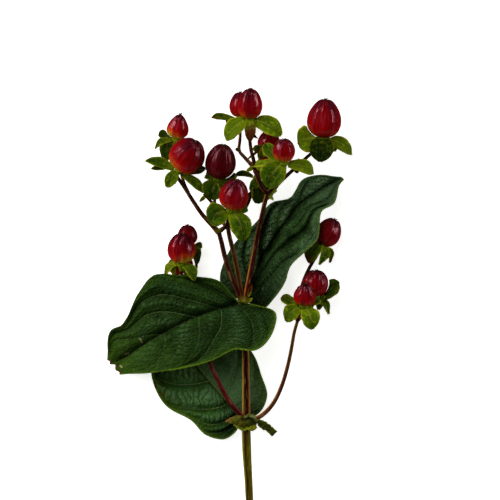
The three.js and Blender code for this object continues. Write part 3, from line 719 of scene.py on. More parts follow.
class Piece:
    """A piece under construction: one mesh in millimetres, with named values on its vertices."""

    def __init__(self, name: str, values: tuple[str, ...] = (), tinted: bool = False) -> None:
        """Starts an empty piece.

        Args:
            name: The piece's name.
            values: The names of the values that its vertices carry.
            tinted: Whether its vertices carry a colour of their own.
        """
        self.name = name
        self.mesh = bmesh.new()
        layers = self.mesh.verts.layers
        layers.int.new("placed")
        for value in values:
            layers.float.new(value)
        layers.float_vector.new("flow")
        if tinted:
            layers.float_color.new("tint")

    def dress(self, place: Callable[[Vector], Spot]) -> list[bmesh.types.BMVert]:
        """Moves the vertices that have no place yet to where they belong.

        Args:
            place: Where a vertex of the plain shape goes.

        Returns:
            The moved vertices.
        """
        layers = self.mesh.verts.layers
        flow, tint = layers.float_vector["flow"], layers.float_color.get("tint")
        moved = [vert for vert in self.mesh.verts if not vert[layers.int["placed"]]]
        for vert in moved:
            spot = place(vert.co)
            vert[layers.int["placed"]] = 1
            vert.co = spot.point
            vert[flow] = spot.flow
            if tint:
                vert[tint] = spot.tint
            for name, value in spot.values.items():
                vert[layers.float[name]] = value
        return moved

    def sheet(
        self,
        columns: int,
        rows: int,
        thickness: float,
        place: Callable[[float, float], Spot],
        under: int = 0,
    ) -> None:
        """Adds a blade of even thickness, its upper face at `place`.

        Args:
            columns: Steps across.
            rows: Steps along.
            thickness: The blade's thickness.
            place: Where a point of the sheet goes, for its shares across and along.
            under: The number of the underside's material.
        """
        bmesh.ops.create_grid(self.mesh, x_segments=columns, y_segments=rows, size=1)
        moved = self.dress(lambda co: place((co.x + 1) / 2, (co.y + 1) / 2))
        faces = faces_of(moved)
        self.mesh.normal_update()
        if sum(face.normal.z * face.calc_area() for face in faces) < 0:
            bmesh.ops.reverse_faces(self.mesh, faces=faces)
            self.mesh.normal_update()
        normals = [vert.normal.copy() for vert in moved]
        bmesh.ops.extrude_face_region(self.mesh, geom=faces, use_keep_orig=True)
        for vert, normal in zip(moved, normals):
            vert.co -= normal * thickness
        bmesh.ops.reverse_faces(self.mesh, faces=faces)
        for face in faces:
            face.material_index = under

    def ball(self, sides: int, rings: int, place: Callable[[Vector], Spot]) -> None:
        """Adds a closed round body.

        Args:
            sides: Steps around.
            rings: Steps from pole to pole.
            place: Where a point of the unit ball goes.
        """
        bmesh.ops.create_uvsphere(self.mesh, u_segments=sides, v_segments=rings, radius=1)
        self.dress(place)

    def tube(
        self, centres: list[Vector], sides: int, place: RingPlace, material: int = 0
    ) -> list[bmesh.types.BMFace]:
        """Adds a closed round tube.

        Args:
            centres: The middles of its rings.
            sides: Steps around, more than four.
            place: Where a point of a ring goes.
            material: The number of its material.

        Returns:
            The faces of its two ends.
        """
        steps = len(centres) - 1
        made = bmesh.ops.create_cone(
            self.mesh, cap_ends=True, segments=sides, radius1=1, radius2=1, depth=1
        )
        edges = dict.fromkeys(edge for vert in made["verts"] for edge in vert.link_edges)
        upright = [edge for edge in edges if abs(edge.verts[0].co.z - edge.verts[1].co.z) > 0.5]
        if steps > 1:
            bmesh.ops.subdivide_edges(self.mesh, edges=upright, cuts=steps - 1, use_grid_fill=True)

        def settle(co: Vector) -> Spot:
            ring = round((co.z + 0.5) * steps)
            ahead = centres[min(ring + 1, steps)] - centres[max(ring - 1, 0)]
            side = ahead.cross(UP).normalized()
            face = side.cross(ahead).normalized()
            out = side * co.x + face * co.y
            return place(ring / steps, math.atan2(co.y, co.x), centres[ring], out)

        moved = self.dress(settle)
        faces = faces_of(moved)
        bmesh.ops.recalc_face_normals(self.mesh, faces=faces)
        for face in faces:
            face.material_index = material
        return [face for face in faces if len(face.verts) == sides]

    def finish(self, slot: str, finishes: Finishes, node: str | None) -> None:
        """Turns the piece to an object in metres that rides on the stem, and reports it.

        Args:
            slot: Not used.
            finishes: The piece's materials.
            node: The solid that it stands for, or None.
        """
        bmesh.ops.scale(self.mesh, vec=(MM, MM, MM), verts=self.mesh.verts)
        self.mesh.verts.layers.int.remove(self.mesh.verts.layers.int["placed"])
        for face in self.mesh.faces:
            face.smooth = True
        triangles = sum(len(face.verts) - 2 for face in self.mesh.faces)
        piece = put_mesh(self.name, self.mesh, finishes)
        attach(piece, "root")
        if node:
            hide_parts(node)
        LOG.info("%s: %d triangles", self.name, triangles)


# ---- berries and calyces


class SepalLook(Enum):
    """A sepal's tone from dark (-1, partly painted shade) to yellow (1), and how far it has dried
    from its tip.
    """

    FRESH = (0.0, 0.0)
    CLEAR = (0.2, 0.0)
    GREEN = (-0.3, 0.0)
    LIGHT = (0.45, 0.0)
    YELLOW = (0.85, 0.0)
    DEEP = (-0.7, 0.0)
    SHADED = (-1.1, 0.0)
    BROWN_TIP = (-0.1, 0.55)
    YELLOW_TIP = (-0.2, 0.2)
    WITHERED = (-0.2, 0.75)
    DRIED = (0.3, 1.2)


@dataclass
class Sepal:
    """One sepal: its tip, its breadth and its look."""

    tip: Point
    breadth: float
    look: SepalLook = SepalLook.FRESH


@dataclass
class Head:
    """A berry and its calyx. `base` and `top` are the ends of the berry's axis.

    `turn` turns the three creases round the axis in degrees: at 90 one of them runs along its top.
    `unripe` is how far up the yellow reaches, and `unripe_side` the angle where it reaches most.
    """

    name: str
    base: Point
    top: Point
    width: float
    sepals: tuple[Sepal, ...]
    rests: bool = False
    turn: float = 30.0
    taper: float = 0.12
    overripe: float = 0.0
    unripe: float = 0.05
    unripe_side: float = 90.0
    dip: float = 0.8  # mm that the crown is sunken, less than 0 for a pointed one
    crease: float = 0.13  # depth of the creases, as a share of the radius
    neck_length: float = 0.6  # mm from the berry to where its sepals leave the receptacle

    def __post_init__(self) -> None:
        """Works out the frame that berry, calyx and stalk share, and lets a resting head down."""
        base, top = Vector(self.base), Vector(self.top)
        self.axis = (top - base).normalized()
        self.half_length = (top - base).length / 2
        self.half_width = self.width / 2
        self.foot = base
        self.centre = (base + top) / 2
        if self.rests:
            flat = self.half_width * math.sqrt(1 - self.axis.z**2)
            drop = self.centre.z - math.hypot(self.half_length * self.axis.z, flat) + SEAT
            self.foot.z -= drop
            self.centre.z -= drop
        self.front = (UP - self.axis * self.axis.z).normalized()
        self.side = self.front.cross(self.axis)

    def behind(self, distance: float) -> Vector:
        """Returns the point on the axis at `distance` behind the berry."""
        return self.foot - self.axis * distance

    def neck(self) -> Vector:
        """Returns where the stalk ends, just behind the receptacle."""
        return self.behind(GAP + RECEPTACLE_HEIGHT + STALK_END)


@dataclass
class Berry:
    """One berry: a glossy three-lobed egg with a dimpled crown and three dried styles."""

    head: Head
    sides: int = 54
    rings: int = 40
    crease_breadth: float = 0.24  # radians
    waist_crease: float = 0.3  # how deep a crease is at the waist, as a share of that at the ends
    pinch: float = 0.9  # mm that a crease draws the crown in
    crown_rise: float = 0.3  # mm that the crown stands above a plain egg
    lumps: float = 0.02  # how uneven it is, as a share of its radius
    base_dip: float = 0.5  # mm that its base is sunken
    dip_breadth: float = 0.3  # share of the radius
    one_sided: float = 0.8  # how much higher the yellow reaches on its own side
    yellow_line: float = 0.3  # how yellow it is where the yellow ends, before the streaks part it
    yellow_gain: float = 2.3  # how fast it grows yellower below that
    draw: float = 0.16  # how far the pattern runs on for each mm of length, less than 1 for streaks
    style_length: float = 1.25
    style_radius: float = 0.26
    style_root: float = 0.1  # mm that a style starts inside the crown
    lean: float = 0.5  # radians that the styles stray from an even star
    table: float = 0.02  # the lowest that the skin reaches

    def skin(self, unit: Vector) -> Spot:
        """Places a point of the skin.

        Args:
            unit: The point on a unit ball whose pole is the crown.

        Returns:
            Its spot on the berry.
        """
        head = self.head
        around = math.atan2(unit.y, unit.x)
        ring = math.hypot(unit.x, unit.y)
        crownward = max(0.0, unit.z) ** 4
        third = 2 * math.pi / 3
        gap = (around - math.radians(head.turn) + third / 2) % third - third / 2
        crease = bell(gap, self.crease_breadth)
        depth = head.crease * blend(self.waist_crease, 1.0, abs(unit.z) ** 2.2)
        breadth = head.half_width * (1 - head.taper * unit.z) * (1 - depth * crease)
        breadth *= 1 + self.lumps * ripple(unit, 0.7, head.base[0])
        dip = head.dip if unit.z > 0 else -self.base_dip
        height = head.half_length * unit.z - dip * bell(ring, self.dip_breadth)
        height -= self.pinch * crease * ease(0.05, 0.4, ring) * crownward
        height += self.crown_rise * crownward
        aside = head.side * math.cos(around) + head.front * math.sin(around)
        point = head.centre + head.axis * height + aside * (ring * breadth)
        point.z = max(point.z, self.table)
        share = (unit.z + 1) / 2
        swing = math.cos(around - math.radians(head.unripe_side))
        yellow = head.unripe * (1.0 + self.one_sided * swing) - share
        flow = Vector((math.cos(around), math.sin(around), 0)) * head.half_width
        flow.z = self.draw * head.half_length * unit.z + head.base[1]
        values = {
            "height": share,
            # painted shade: how deep the point lies in a crease, which darkens the skin there
            "crease": crease * ring * blend(self.waist_crease, 1.0, abs(unit.z)),
            "unripe": max(0.0, self.yellow_line + self.yellow_gain * yellow) if head.unripe else 0,
            "overripe": head.overripe,
        }
        return Spot(point, flow, values)

    def styles(self, piece: Piece) -> None:
        """Adds the three dried styles, which curl apart on the crown."""
        head = self.head
        foot = head.centre + head.axis * (head.half_length - head.dip - self.style_root)
        for number in range(3):
            angle = math.radians(head.turn + 60 + 120 * number)  # midway between two creases
            angle += self.lean * ripple(foot, 3, number)
            out = head.side * math.cos(angle) + head.front * math.sin(angle)
            route = [
                foot + out * 0.12,
                foot + out * 0.25 + head.axis * 0.55 * self.style_length,
                foot + out * 0.6 * self.style_length + head.axis * 0.85 * self.style_length,
            ]

            def place(share: float, angle: float, centre: Vector, aside: Vector) -> Spot:
                return Spot(centre + aside * self.style_radius * (1.5 - share), Vector())

            piece.tube(Curve(route).even(6), 6, place, material=1)

    def build(self, finishes: Finishes) -> None:
        """Builds the berry.

        Args:
            finishes: The skin's and the styles' materials.
        """
        piece = Piece(f"berry_{self.head.name}", BERRY_VALUES)
        piece.ball(self.sides, self.rings, self.skin)
        self.styles(piece)
        piece.finish("berry_skin", finishes, f"berry_{self.head.name}")


@dataclass
class PointedBlade:
    """A pointed blade that bows from its root to its tip, such as a sepal or a bract."""

    root: Vector
    bow: Vector
    tip: Vector
    breadth: float
    across: Vector
    look: SepalLook
    clear_of: list[Head]
    seed: float
    columns: int = 10
    rows: int = 18
    thickness: float = 0.34
    root_share: float = 0.5  # its breadth at its root, as a share of the widest
    widest: float = 0.46  # where it is widest, as a share of its length
    ragged: float = 0.09  # how uneven its breadth is
    cup: float = 0.17  # mm that its sides rise for each mm from its middle
    ribs: int = 9  # half waves of its lengthwise ribs from edge to edge
    rib_height: float = 0.12  # mm, on a blade 5 mm wide
    relief: float = 0.8  # how much of that cup and those ribs it takes on
    wave: float = 0.6  # mm that its edges wave
    tone_spread: float = 0.25  # how much its tone strays from its look's
    clearance: float = 0.2  # mm between it and every berry

    def outline(self, along: float) -> float:
        """Returns the breadth at a share from root to tip, as a share of the widest."""
        if along < self.widest:
            return blend(self.root_share, 1.0, math.sin(along / self.widest * math.pi / 2))
        slim = self.breadth / (self.tip - self.root).length
        blunt = blend(0.95, 0.6, ease(0.35, 0.7, slim))
        return max(0.03, 1 - ((along - self.widest) / (1 - self.widest)) ** 2) ** blunt

    def spot(self, across: float, along: float) -> Spot:
        """Places a point of the blade, for its shares across and along."""
        side = 2 * across - 1
        back = 1 - along
        spine = self.root * back**2 + self.bow * 2 * along * back + self.tip * along**2
        ahead = (self.bow - self.root) * back + (self.tip - self.bow) * along
        face = self.across.cross(ahead).normalized()
        if face.z < 0:
            face.negate()
        reach = side * self.breadth / 2 * self.outline(along)
        reach *= 1 + self.ragged * ripple(Vector((5 * along, side, 0)), 1.0, self.seed)
        point = spine + self.across * reach
        rise = self.cup * abs(reach)
        rise += self.rib_height * self.breadth / 5 * math.cos(self.ribs * math.pi * side / 2)
        wave = self.wave * ripple(point, 2.6, self.seed) * abs(side) ** 2 * min(1.0, 2 * along)
        point += face * (rise * self.relief + wave)
        tone, dry = self.look.value
        shift = self.tone_spread * ripple(Vector((self.seed, 0, 0)), 0.7, 3.0)
        from_edge = (1 - abs(side)) * self.breadth / 2 * self.outline(along)
        values = {
            "edge": max(abs(side), ease(0.88, 1.0, along)),
            "rim": ease(0.34, 0.08, from_edge),
            "along": along,
            "tone": tone + shift,
            "dry": dry * blend(0.3, 1.0, along**2) if dry else 0.25 * ease(0.9, 1.0, along),
        }
        return Spot(self.clear(point), Vector((side / 2, along * 3, self.seed)), values)

    def clear(self, point: Vector) -> Vector:
        """Returns the point, moved out of every berry that it would touch."""
        for head in self.clear_of:
            offset = point - head.centre
            along = offset.dot(head.axis)
            aside = (offset - head.axis * along).length
            baseward = min(1.0, max(-1.0, -along / head.half_length))
            breadth = head.half_width * (1 + head.taper * baseward)
            depth = math.hypot(
                along / (head.half_length + self.clearance), aside / (breadth + self.clearance)
            )
            if depth < 1:  # inside the berry
                point = head.centre + offset / depth
        return point

    def add(self, piece: Piece) -> None:
        """Adds the blade to a piece."""
        piece.sheet(self.columns, self.rows, self.thickness, self.spot)


@dataclass
class Calyx:
    """The calyx of one head: a small receptacle and five sepals that bend back under the berry."""

    head: Head
    heads: list[Head]
    receptacle_radius: float = 1.6
    cup: tuple[float, ...] = (0.5, 0.64, 1.0, 1.6, 1.7)  # the receptacle's radii towards the berry
    lobe: float = 0.08  # how far it bulges under each sepal, as a share of its radius
    overlap: float = 0.4  # mm that it reaches over the stalk
    bow_out: float = 2.2
    bow_up: float = 1.7
    shown: int = 3  # the first sepals turn their face up, the others stand edgewise
    face_turn: tuple[float, float] = (0.25, 0.7)  # how far those and these stand edgewise

    def blade(self, sepal: Sepal, number: int) -> PointedBlade:
        """Shapes the blade of one sepal.

        Args:
            sepal: The sepal.
            number: Its number in the calyx.

        Returns:
            The blade.
        """
        head = self.head
        root, tip = head.behind(head.neck_length), Vector(sepal.tip)
        line = tip - root
        outward = (line - head.axis * line.dot(head.axis)).normalized()
        root = root + outward * self.receptacle_radius
        bow = (root + tip) / 2 + outward * self.bow_out + head.axis * self.bow_up
        face_up = line.cross(UP).normalized()
        edgewise = head.axis.cross(outward)
        if edgewise.dot(face_up) < 0:
            edgewise.negate()
        turn = self.face_turn[0] if number < self.shown else self.face_turn[1]
        across = face_up.lerp(edgewise, turn).normalized()
        seed = 7.3 * number + head.base[0] + head.base[1]
        return PointedBlade(root, bow, tip, sepal.breadth, across, sepal.look, self.heads, seed)

    def receptacle(self, piece: Piece) -> None:
        """Adds the receptacle, a cup that widens from the stalk to the sepals."""

        def place(share: float, angle: float, centre: Vector, aside: Vector) -> Spot:
            bulge = 1 + self.lobe * math.cos(5 * angle)
            values = {"edge": 0.4, "rim": 0.0, "along": 0.1, "tone": 0.7, "dry": 0.0}
            point = centre + aside * spread(self.cup, share) * bulge
            return Spot(point, Vector((angle / 6, share, 0)), values)

        start = self.head.behind(GAP + RECEPTACLE_HEIGHT + STALK_END + self.overlap)
        end = self.head.behind(-0.15)  # just inside the berry's base
        piece.tube([start.lerp(end, i / 8) for i in range(9)], 15, place)

    def build(self, finishes: Finishes) -> None:
        """Builds the calyx.

        Args:
            finishes: The sepals' material.
        """
        piece = Piece(f"calyx_{self.head.name}", SEPAL_VALUES)
        self.receptacle(piece)
        for number, sepal in enumerate(self.head.sepals):
            self.blade(sepal, number).add(piece)
        piece.finish("sepal", finishes, f"calyx_{self.head.name}")


# ---- stem


@dataclass(frozen=True)
class Bark:
    """The colours of a shoot on its top and on its left and right flanks, whose paler tints are
    partly painted highlight.
    """

    top: str
    left: str
    right: str


MAIN_BARK = (
    Bark("#2e1004", "#6a4a0e", "#4e2606"), Bark("#4a3406", "#6c5c0a", "#5a4c08"),
    Bark("#5c5206", "#767408", "#645c08"), Bark("#6a6408", "#7e7e0a", "#706c0a"),
    Bark("#2a0601", "#94742a", "#8a5a20"), Bark("#260300", "#9a7c30", "#90602a"),
    Bark("#2a0501", "#947834", "#8c5c26"), Bark("#2e0801", "#8c6c2a", "#84541e"),
)
DARK_BARK = (Bark("#300a04", "#5e2a10", "#420e06"), Bark("#260904", "#583410", "#3c1206"))
OLIVE_BARK = (Bark("#3a1606", "#7c5c18", "#6c420e"), Bark("#160603", "#5c5414", "#5a3a0e"))
ORANGE_BARK = (Bark("#400a04", "#a4601a", "#300604"), Bark("#300803", "#9a5a18", "#300604"))
CRIMSON_BARK = (Bark("#4c030c", "#300804", "#6a0a20"), Bark("#46080a", "#5a3410", "#5a2010"))
BROWN_BARK = (
    Bark("#5a2808", "#9a6a1c", "#421204"), Bark("#4a2206", "#84560f", "#380e02"),
    Bark("#5e3a08", "#a07a18", "#5a2806"),
)
STALK_BARK = (Bark("#1e0502", "#68380c", "#361004"), Bark("#1e0502", "#5a2e0a", "#2c0a03"))


@dataclass
class Shoot:
    """A shoot: its radii, the points that it runs through and its bark, all from root to end."""

    name: str
    radii: tuple[float, ...]
    points: list[Point]
    bark: tuple[Bark, ...] = STALK_BARK
    to: str | None = None  # the head that it carries
    sides: int = 14
    cut: bool = False  # whether its root is the cut end
    fresh: float = 0.0  # mm from its root that are as yellow as the node

    def __post_init__(self) -> None:
        """Lists the colours of its top, left and right flank along it, and picks its seed."""
        barks = [(bark.top, bark.left, bark.right) for bark in self.bark]
        self.shades = [[to_linear(colour) for colour in strip] for strip in zip(*barks)]
        self.seed = self.points[0][0] + self.points[-1][1]

    def colours(self, share: float) -> list[Colour]:
        """Returns the colours of its top, left and right flank at a share of its length."""
        return [tuple(spread(tone, share) for tone in zip(*strip)) for strip in self.shades]


@dataclass
class Bract:
    """A small bract at a fork."""

    root: Point
    tip: Point
    breadth: float
    look: SepalLook = SepalLook.YELLOW


@dataclass
class WoodyStem:
    """The woody stem with its branches, forks and berry stalks, swollen where they part."""

    shoots: list[Shoot]
    bracts: list[Bract]
    heads: list[Head]
    step: float = 1.1  # mm between a shoot's rings
    flare: float = 0.32  # how much wider a shoot is at its root
    flare_length: float = 2.2
    ridge: float = 0.05  # height of the two ridge lines, as a share of the radius
    knob: float = 0.03
    node_swelling: float = 0.35  # mm
    node_breadth: float = 0.012  # share of the main stem's length
    node_colour: str = "#767008"
    freshness: float = 0.8  # how much of the node's colour a shoot's root takes
    seam_colour: str = "#2c0c03"
    seam: float = -0.3  # where the dark seam below the lower node runs, as a share of the radius
    seam_breadth: float = 0.36
    seam_wander: float = 0.16
    nodes: tuple[float, ...] = (0.535, 0.985)  # where on the main stem the leaf pairs sit
    cut_slant: float = 0.5
    rim: float = 0.24  # breadth of the bark around the cut
    bract_bow: float = 0.2  # mm that a bract bows up
    draw: float = 0.14  # how far the pattern runs on for each mm of length, less than 1 for streaks

    def tint(self, shoot: Shoot, share: float, run: float, centre: Vector, aside: Vector) -> Colour:
        """Colours a point of the bark.

        Args:
            shoot: The shoot.
            share: The point's share of the shoot's length.
            run: Its distance from the shoot's root.
            centre: The middle of its ring.
            aside: The direction out of the ring.

        Returns:
            Its linear colour.
        """
        top, left, right = shoot.colours(share)
        # painted highlight: the paler flanks stand partly for the side lights' glints along the
        # stem's edges
        flanks = tinge(left, right, ease(-0.35, 0.35, aside.x))
        tint = tinge(flanks, top, ease(0.55, 0.92, abs(aside.z)))
        if shoot.fresh:
            fresh = self.freshness * ease(shoot.fresh, 0.25 * shoot.fresh, run)
            tint = tinge(tint, to_linear(self.node_colour), fresh)
        if shoot.cut:
            off = aside.x - self.seam + self.seam_wander * ripple(centre, 3.0, shoot.seed)
            dark = bell(off, self.seam_breadth)
            dark *= ease(self.nodes[0], self.nodes[0] - 0.03, share)
            tint = tinge(tint, to_linear(self.seam_colour), dark)
        return tint

    def shoot(self, piece: Piece, shoot: Shoot) -> None:
        """Adds one shoot.

        Args:
            piece: The piece that it is added to.
            shoot: The shoot.
        """
        route = [Vector(point) for point in shoot.points]
        if shoot.to:
            route.append(next(head for head in self.heads if head.name == shoot.to).neck())
        curve = Curve(route)
        length = curve.length()
        centres = curve.even(max(6, round(length / self.step)))
        LOG.debug("%s: %d rings", shoot.name, len(centres))

        def place(share: float, angle: float, centre: Vector, aside: Vector) -> Spot:
            run = share * length
            radius = spread(shoot.radii, share)
            if shoot.cut:
                swelling = sum(bell(share - node, self.node_breadth) for node in self.nodes)
                radius += self.node_swelling * swelling
            else:
                radius *= 1 + self.flare * bell(run, self.flare_length)
            lump = 1 + self.ridge * math.cos(2 * angle)
            lump += self.knob * ripple(centre, 1.8, shoot.seed + aside.x)
            point = centre + aside * radius * lump
            if shoot.cut and share == 0:
                point.y += self.cut_slant * (aside.z - aside.x)
            flow = Vector((radius * math.cos(angle), radius * math.sin(angle), 0))
            flow.z = shoot.seed + run * self.draw
            return Spot(point, flow, tint=self.tint(shoot, share, run, centre, aside))

        ends = piece.tube(centres, shoot.sides, place)
        if shoot.cut:
            low = min(ends, key=lambda face: face.calc_center_median().y)
            bmesh.ops.inset_individual(piece.mesh, faces=[low], thickness=self.rim)
            low.material_index = 1

    def build(self, finishes: Finishes, leafy: bpy.types.Material) -> None:
        """Builds the stem and its bracts.

        Args:
            finishes: The bark's and the cut end's materials.
            leafy: The bracts' material.
        """
        piece = Piece("stem_bark", tinted=True)
        for shoot in self.shoots:
            self.shoot(piece, shoot)
        piece.finish("bark", finishes, "stem")
        piece = Piece("stem_bracts", SEPAL_VALUES)
        for number, bract in enumerate(self.bracts):
            root, tip = Vector(bract.root), Vector(bract.tip)
            PointedBlade(
                root, (root + tip) / 2 + UP * self.bract_bow, tip, bract.breadth,
                (tip - root).cross(UP).normalized(), bract.look, self.heads, 3.1 * number,
                columns=6, rows=10, thickness=0.3,
            ).add(piece)
        piece.finish("sepal", (leafy,), None)


# ---- leaves


@dataclass
class Vein:
    """A side vein: where it leaves the midrib and would meet the margin, and how deep it lies."""

    start: float
    end: float
    depth: float = 1.0
    bend: float = 1.8
    beyond: float = 0.3  # how fast it goes on past the margin

    def place(self, along: float) -> float:
        """Returns how far out the vein is at `along`, 0 at the midrib and 1 at the margin."""
        run = (along - self.start) / (self.end - self.start)
        if run < 0:
            return self.bend * run
        if run > 1:
            return 1 + self.beyond * (run - 1)
        return 1 - (1 - run) ** self.bend


@dataclass
class Mark:
    """A short scratch or dried spot on a leaf, from one point to another on the table's plane."""

    start: tuple[float, float]
    end: tuple[float, float]
    breadth: float
    pale: bool = True  # a scratch, or else a dried spot

    def strength(self, point: Vector) -> float:
        """Returns how strongly the mark shows at a point."""
        start, line = Vector(self.start), Vector(self.end) - Vector(self.start)
        share = min(1.0, max(0.0, (point.xy - start).dot(line) / line.length_squared))
        return ease(self.breadth, 0.4 * self.breadth, (point.xy - start - line * share).length)


@dataclass
class Leaf:
    """A leathery leaf between two margins, sunken along its veins and quilted between them."""

    name: str
    left: list[Point]
    rib: list[Point]
    right: list[Point]
    left_veins: list[Vein]
    right_veins: list[Vein]
    columns: int = 150
    rows: int = 230
    thickness: float = 0.4
    fade: float = 1.5  # mm from its margins where its relief dies out
    end_fade: float = 14.0  # at each end it dies out over one part in so many of its length
    quilt: float = 0.8  # depth of a side vein's valley
    groove: tuple[float, float] = (1.6, 1.6)  # mm that the valley reaches, outward and inward
    crease: float = 0.15  # how much deeper the vein itself lies, as a share of the valley
    crease_breadth: float = 0.45
    outer_band: float = 0.45  # breadth of the bands past the first and last vein, as a share
    rib_depth: float = 1.0
    rib_breadth: float = 2.2
    rung: float = 1.9  # mm between the cross veins
    rungs: tuple[float, float] = (0.2, 0.2)  # mm that the blade rises between them, left and right
    slant: tuple[float, float] = (0.72, 0.6)  # how fast they follow each other outward and along
    band_shift: float = 0.7  # mm by which they miss those of the next band
    wander: float = 1.0  # how crooked they are
    pits: float = 0.5  # painted shade: how dark the valleys are painted
    shade: float = 0.0  # painted shade: how dark the blade's base is painted
    satin: tuple[float, float] = (0.0, 0.0)  # painted sheen: how much paler its left and right halves are painted
    lift: float = 0.0  # mm added to its height
    lumps: float = 0.35
    frill: float = 0.5
    rims: tuple[float, float] = (0.5, 0.5)  # how yellow the left and right rims are
    rib_line: float = 0.3  # how clearly the midrib is drawn
    vein_line: float = 0.55
    torn: float = 0.0  # mm that its torn tip is ragged, 0 for a whole tip
    young_tip: float = 0.0  # how yellow-green its tip and edges are
    marks: tuple[Mark, ...] = ()
    face: LeafFace = LeafFace()
    seed: float = 1.0

    def __post_init__(self) -> None:
        """Reads the margins, the midrib and the side veins at every row."""
        curves = [Curve(points) for points in (self.left, self.rib, self.right)]
        shares = [j / self.rows for j in range(self.rows + 1)]
        self.stations = [[curve.at(share) for curve in curves] for share in shares]
        self.places = [
            [[vein.place(share) for vein in veins] for veins in (self.left_veins, self.right_veins)]
            for share in shares
        ]
        self.length = curves[1].length()

    def vein_run(self, row: int, side: float, half: float) -> tuple[float, float, float, int]:
        """Finds where a point lies between the side veins.

        Args:
            row: The number of its row.
            side: Its share from the midrib, -1 at the left margin and 1 at the right.
            half: The half leaf's breadth.

        Returns:
            Its place in the veins' order, the gap between the two veins, the distance from the
            nearest and the number of that vein.
        """
        number = 1 if side > 0 else 0
        places, share = self.places[row][number], abs(side)
        ahead = next((k for k, place in enumerate(places) if place < share), len(places))
        outer = places[ahead - 1] if ahead else places[0] + self.outer_band
        inner = places[ahead] if ahead < len(places) else places[-1] - self.outer_band
        span = max(0.02, outer - inner)
        order = ahead - 1 + (outer - share) / span
        order = min(len(places) - 0.5, max(-0.5, order))
        nearest = min(len(places) - 1, max(0, round(order)))
        before = self.places[max(0, row - 1)][number][nearest]
        slope = (places[nearest] - before) * half * self.rows / self.length
        gap = span * half / math.hypot(1, slope)
        return order, gap, abs(order - nearest) * gap, nearest

    def inside(self, from_edge: float, along: float) -> float:
        """Returns how fully the relief shows: it dies out at the margins and at both ends."""
        root, tip = self.end_fade * along + 0.05, self.end_fade * (1 - along) + 0.05
        return min(1.0, from_edge / self.fade) * min(1.0, root) * min(1.0, tip)

    def between_rungs(
        self, point: Vector, from_rib: float, along: float, started: float, band: int
    ) -> float:
        """Finds where a point lies between the cross veins.

        Args:
            point: The point.
            from_rib: Its distance from the midrib.
            along: Its share of the leaf's length.
            started: Where along the midrib its band starts.
            band: The number of the band.

        Returns:
            0 on a cross vein and 1 midway between two.
        """
        climb = self.slant[0] * from_rib + self.slant[1] * (along - started) * self.length
        climb += self.band_shift * band
        crooked = 0.9 * ripple(point, 4.5, self.seed) + 0.5 * ripple(point, 1.9, self.seed + 5)
        climb += self.wander * crooked
        return abs(math.sin(math.pi * climb / self.rung)) ** 0.8

    def spot(self, across: float, along: float) -> Spot:
        """Places a point of the leaf, for its shares across and along."""
        row = round(along * self.rows)
        left, rib, right = self.stations[row]
        side = 2 * across - 1
        share = abs(side)
        hand = 0 if side < 0 else 1  # the left half or the right
        margin, veins = (left, self.left_veins) if side <= 0 else (right, self.right_veins)
        half = (margin - rib).length
        from_rib, from_margin, run = share * half, (1 - share) * half, along * self.length
        from_tip = (1 - along) * self.length if self.torn else math.inf
        from_edge = min(from_margin, from_tip)

        # The side veins' valleys, and the cross veins between them.
        order, gap, distance, nearest = self.vein_run(row, side, half)
        vein, band = veins[nearest], math.floor(order)
        reach = self.groove[0] if order < nearest else self.groove[1]
        inside = self.inside(from_edge, along)
        groove = math.exp(-((distance / reach) ** 1.25))
        groove += self.crease * bell(distance, self.crease_breadth)
        point = rib.lerp(margin, share) + UP * self.lift
        started = veins[min(len(veins) - 1, max(0, band))].start
        rung = self.between_rungs(point, from_rib, along, started, band)
        rise = self.rungs[hand]
        swell = max(0.0, 1 - groove)
        cells = swell * inside * (0.65 + 0.35 * ripple(point, 6.0, self.seed + 9))

        # The relief: valleys, midrib, quilting, lumps and the frilled margin.
        point.z -= self.quilt * inside * groove * vein.depth
        point.z -= self.rib_depth * inside * bell(from_rib, self.rib_breadth) * (1 - 0.35 * along)
        point.z += rise * cells * (rung - 0.5)
        lumps = ripple(point, 6.5, self.seed) + 0.5 * ripple(point, 2.6, self.seed + 2)
        point.z += self.lumps * inside * lumps
        point.z += self.frill * share**3 * ripple(Vector((run, 9 * side, 0)), 6.0, self.seed)
        if self.torn:
            tear = self.torn * ripple(Vector((side * half, 0, 0)), 1.5, self.seed)
            tear *= ease(0.95, 1.0, along)
            point += (self.stations[-1][1] - self.stations[-12][1]).normalized() * tear
        point.z = max(point.z, self.thickness + 0.05)

        # What the finish reads.
        scar, dried = (
            max((mark.strength(point) for mark in self.marks if mark.pale is pale), default=0.0)
            for pale in (True, False)
        )
        beside_rib = bell(side * half + 0.3 * self.rib_breadth, 0.4 * self.rib_breadth)
        values = {
            "edge": self.rims[hand] * ease(0.55, 0.1, from_margin),
            "order": order,
            "gap": gap,
            "vein": self.vein_line * (1 - 0.7 * share) * min(1.0, 2.5 * vein.depth),
            # painted shade: darker between the cross veins, along the side veins, beside the midrib
            # and at the base
            "pit": max(
                0.6 * self.pits * (1 - rung) * cells * min(1.0, 3 * rise),
                self.pits * inside * vein.depth * bell(distance, 0.36 * reach),
                1.3 * self.pits * inside * beside_rib,
                self.shade * ease(0.55, 0.1, along) * (0.75 + 0.25 * groove),
            ),
            # painted sheen on the bulges, plus each half's painted sheen
            "swell": swell * inside * (0.4 + 0.6 * rung) + self.satin[hand],
            "young": self.young_tip * max(ease(0.6, 1.0, along), 0.7 * ease(5.0, 0.0, from_edge)),
            "dry": max(dried, ease(0.7, 0.1, from_tip)),
            "scar": scar,
            "rib": self.rib_line * (1 - 0.5 * along),
        }
        return Spot(point, Vector((side * half, run, self.seed)), values)

    def build(self, finishes: Finishes) -> None:
        """Builds the leaf.

        Args:
            finishes: The materials of its upper face and its underside.
        """
        piece = Piece(self.name, LEAF_VALUES)
        piece.sheet(self.columns, self.rows, self.thickness, self.spot, under=1)
        piece.finish("leaf", finishes, self.name)


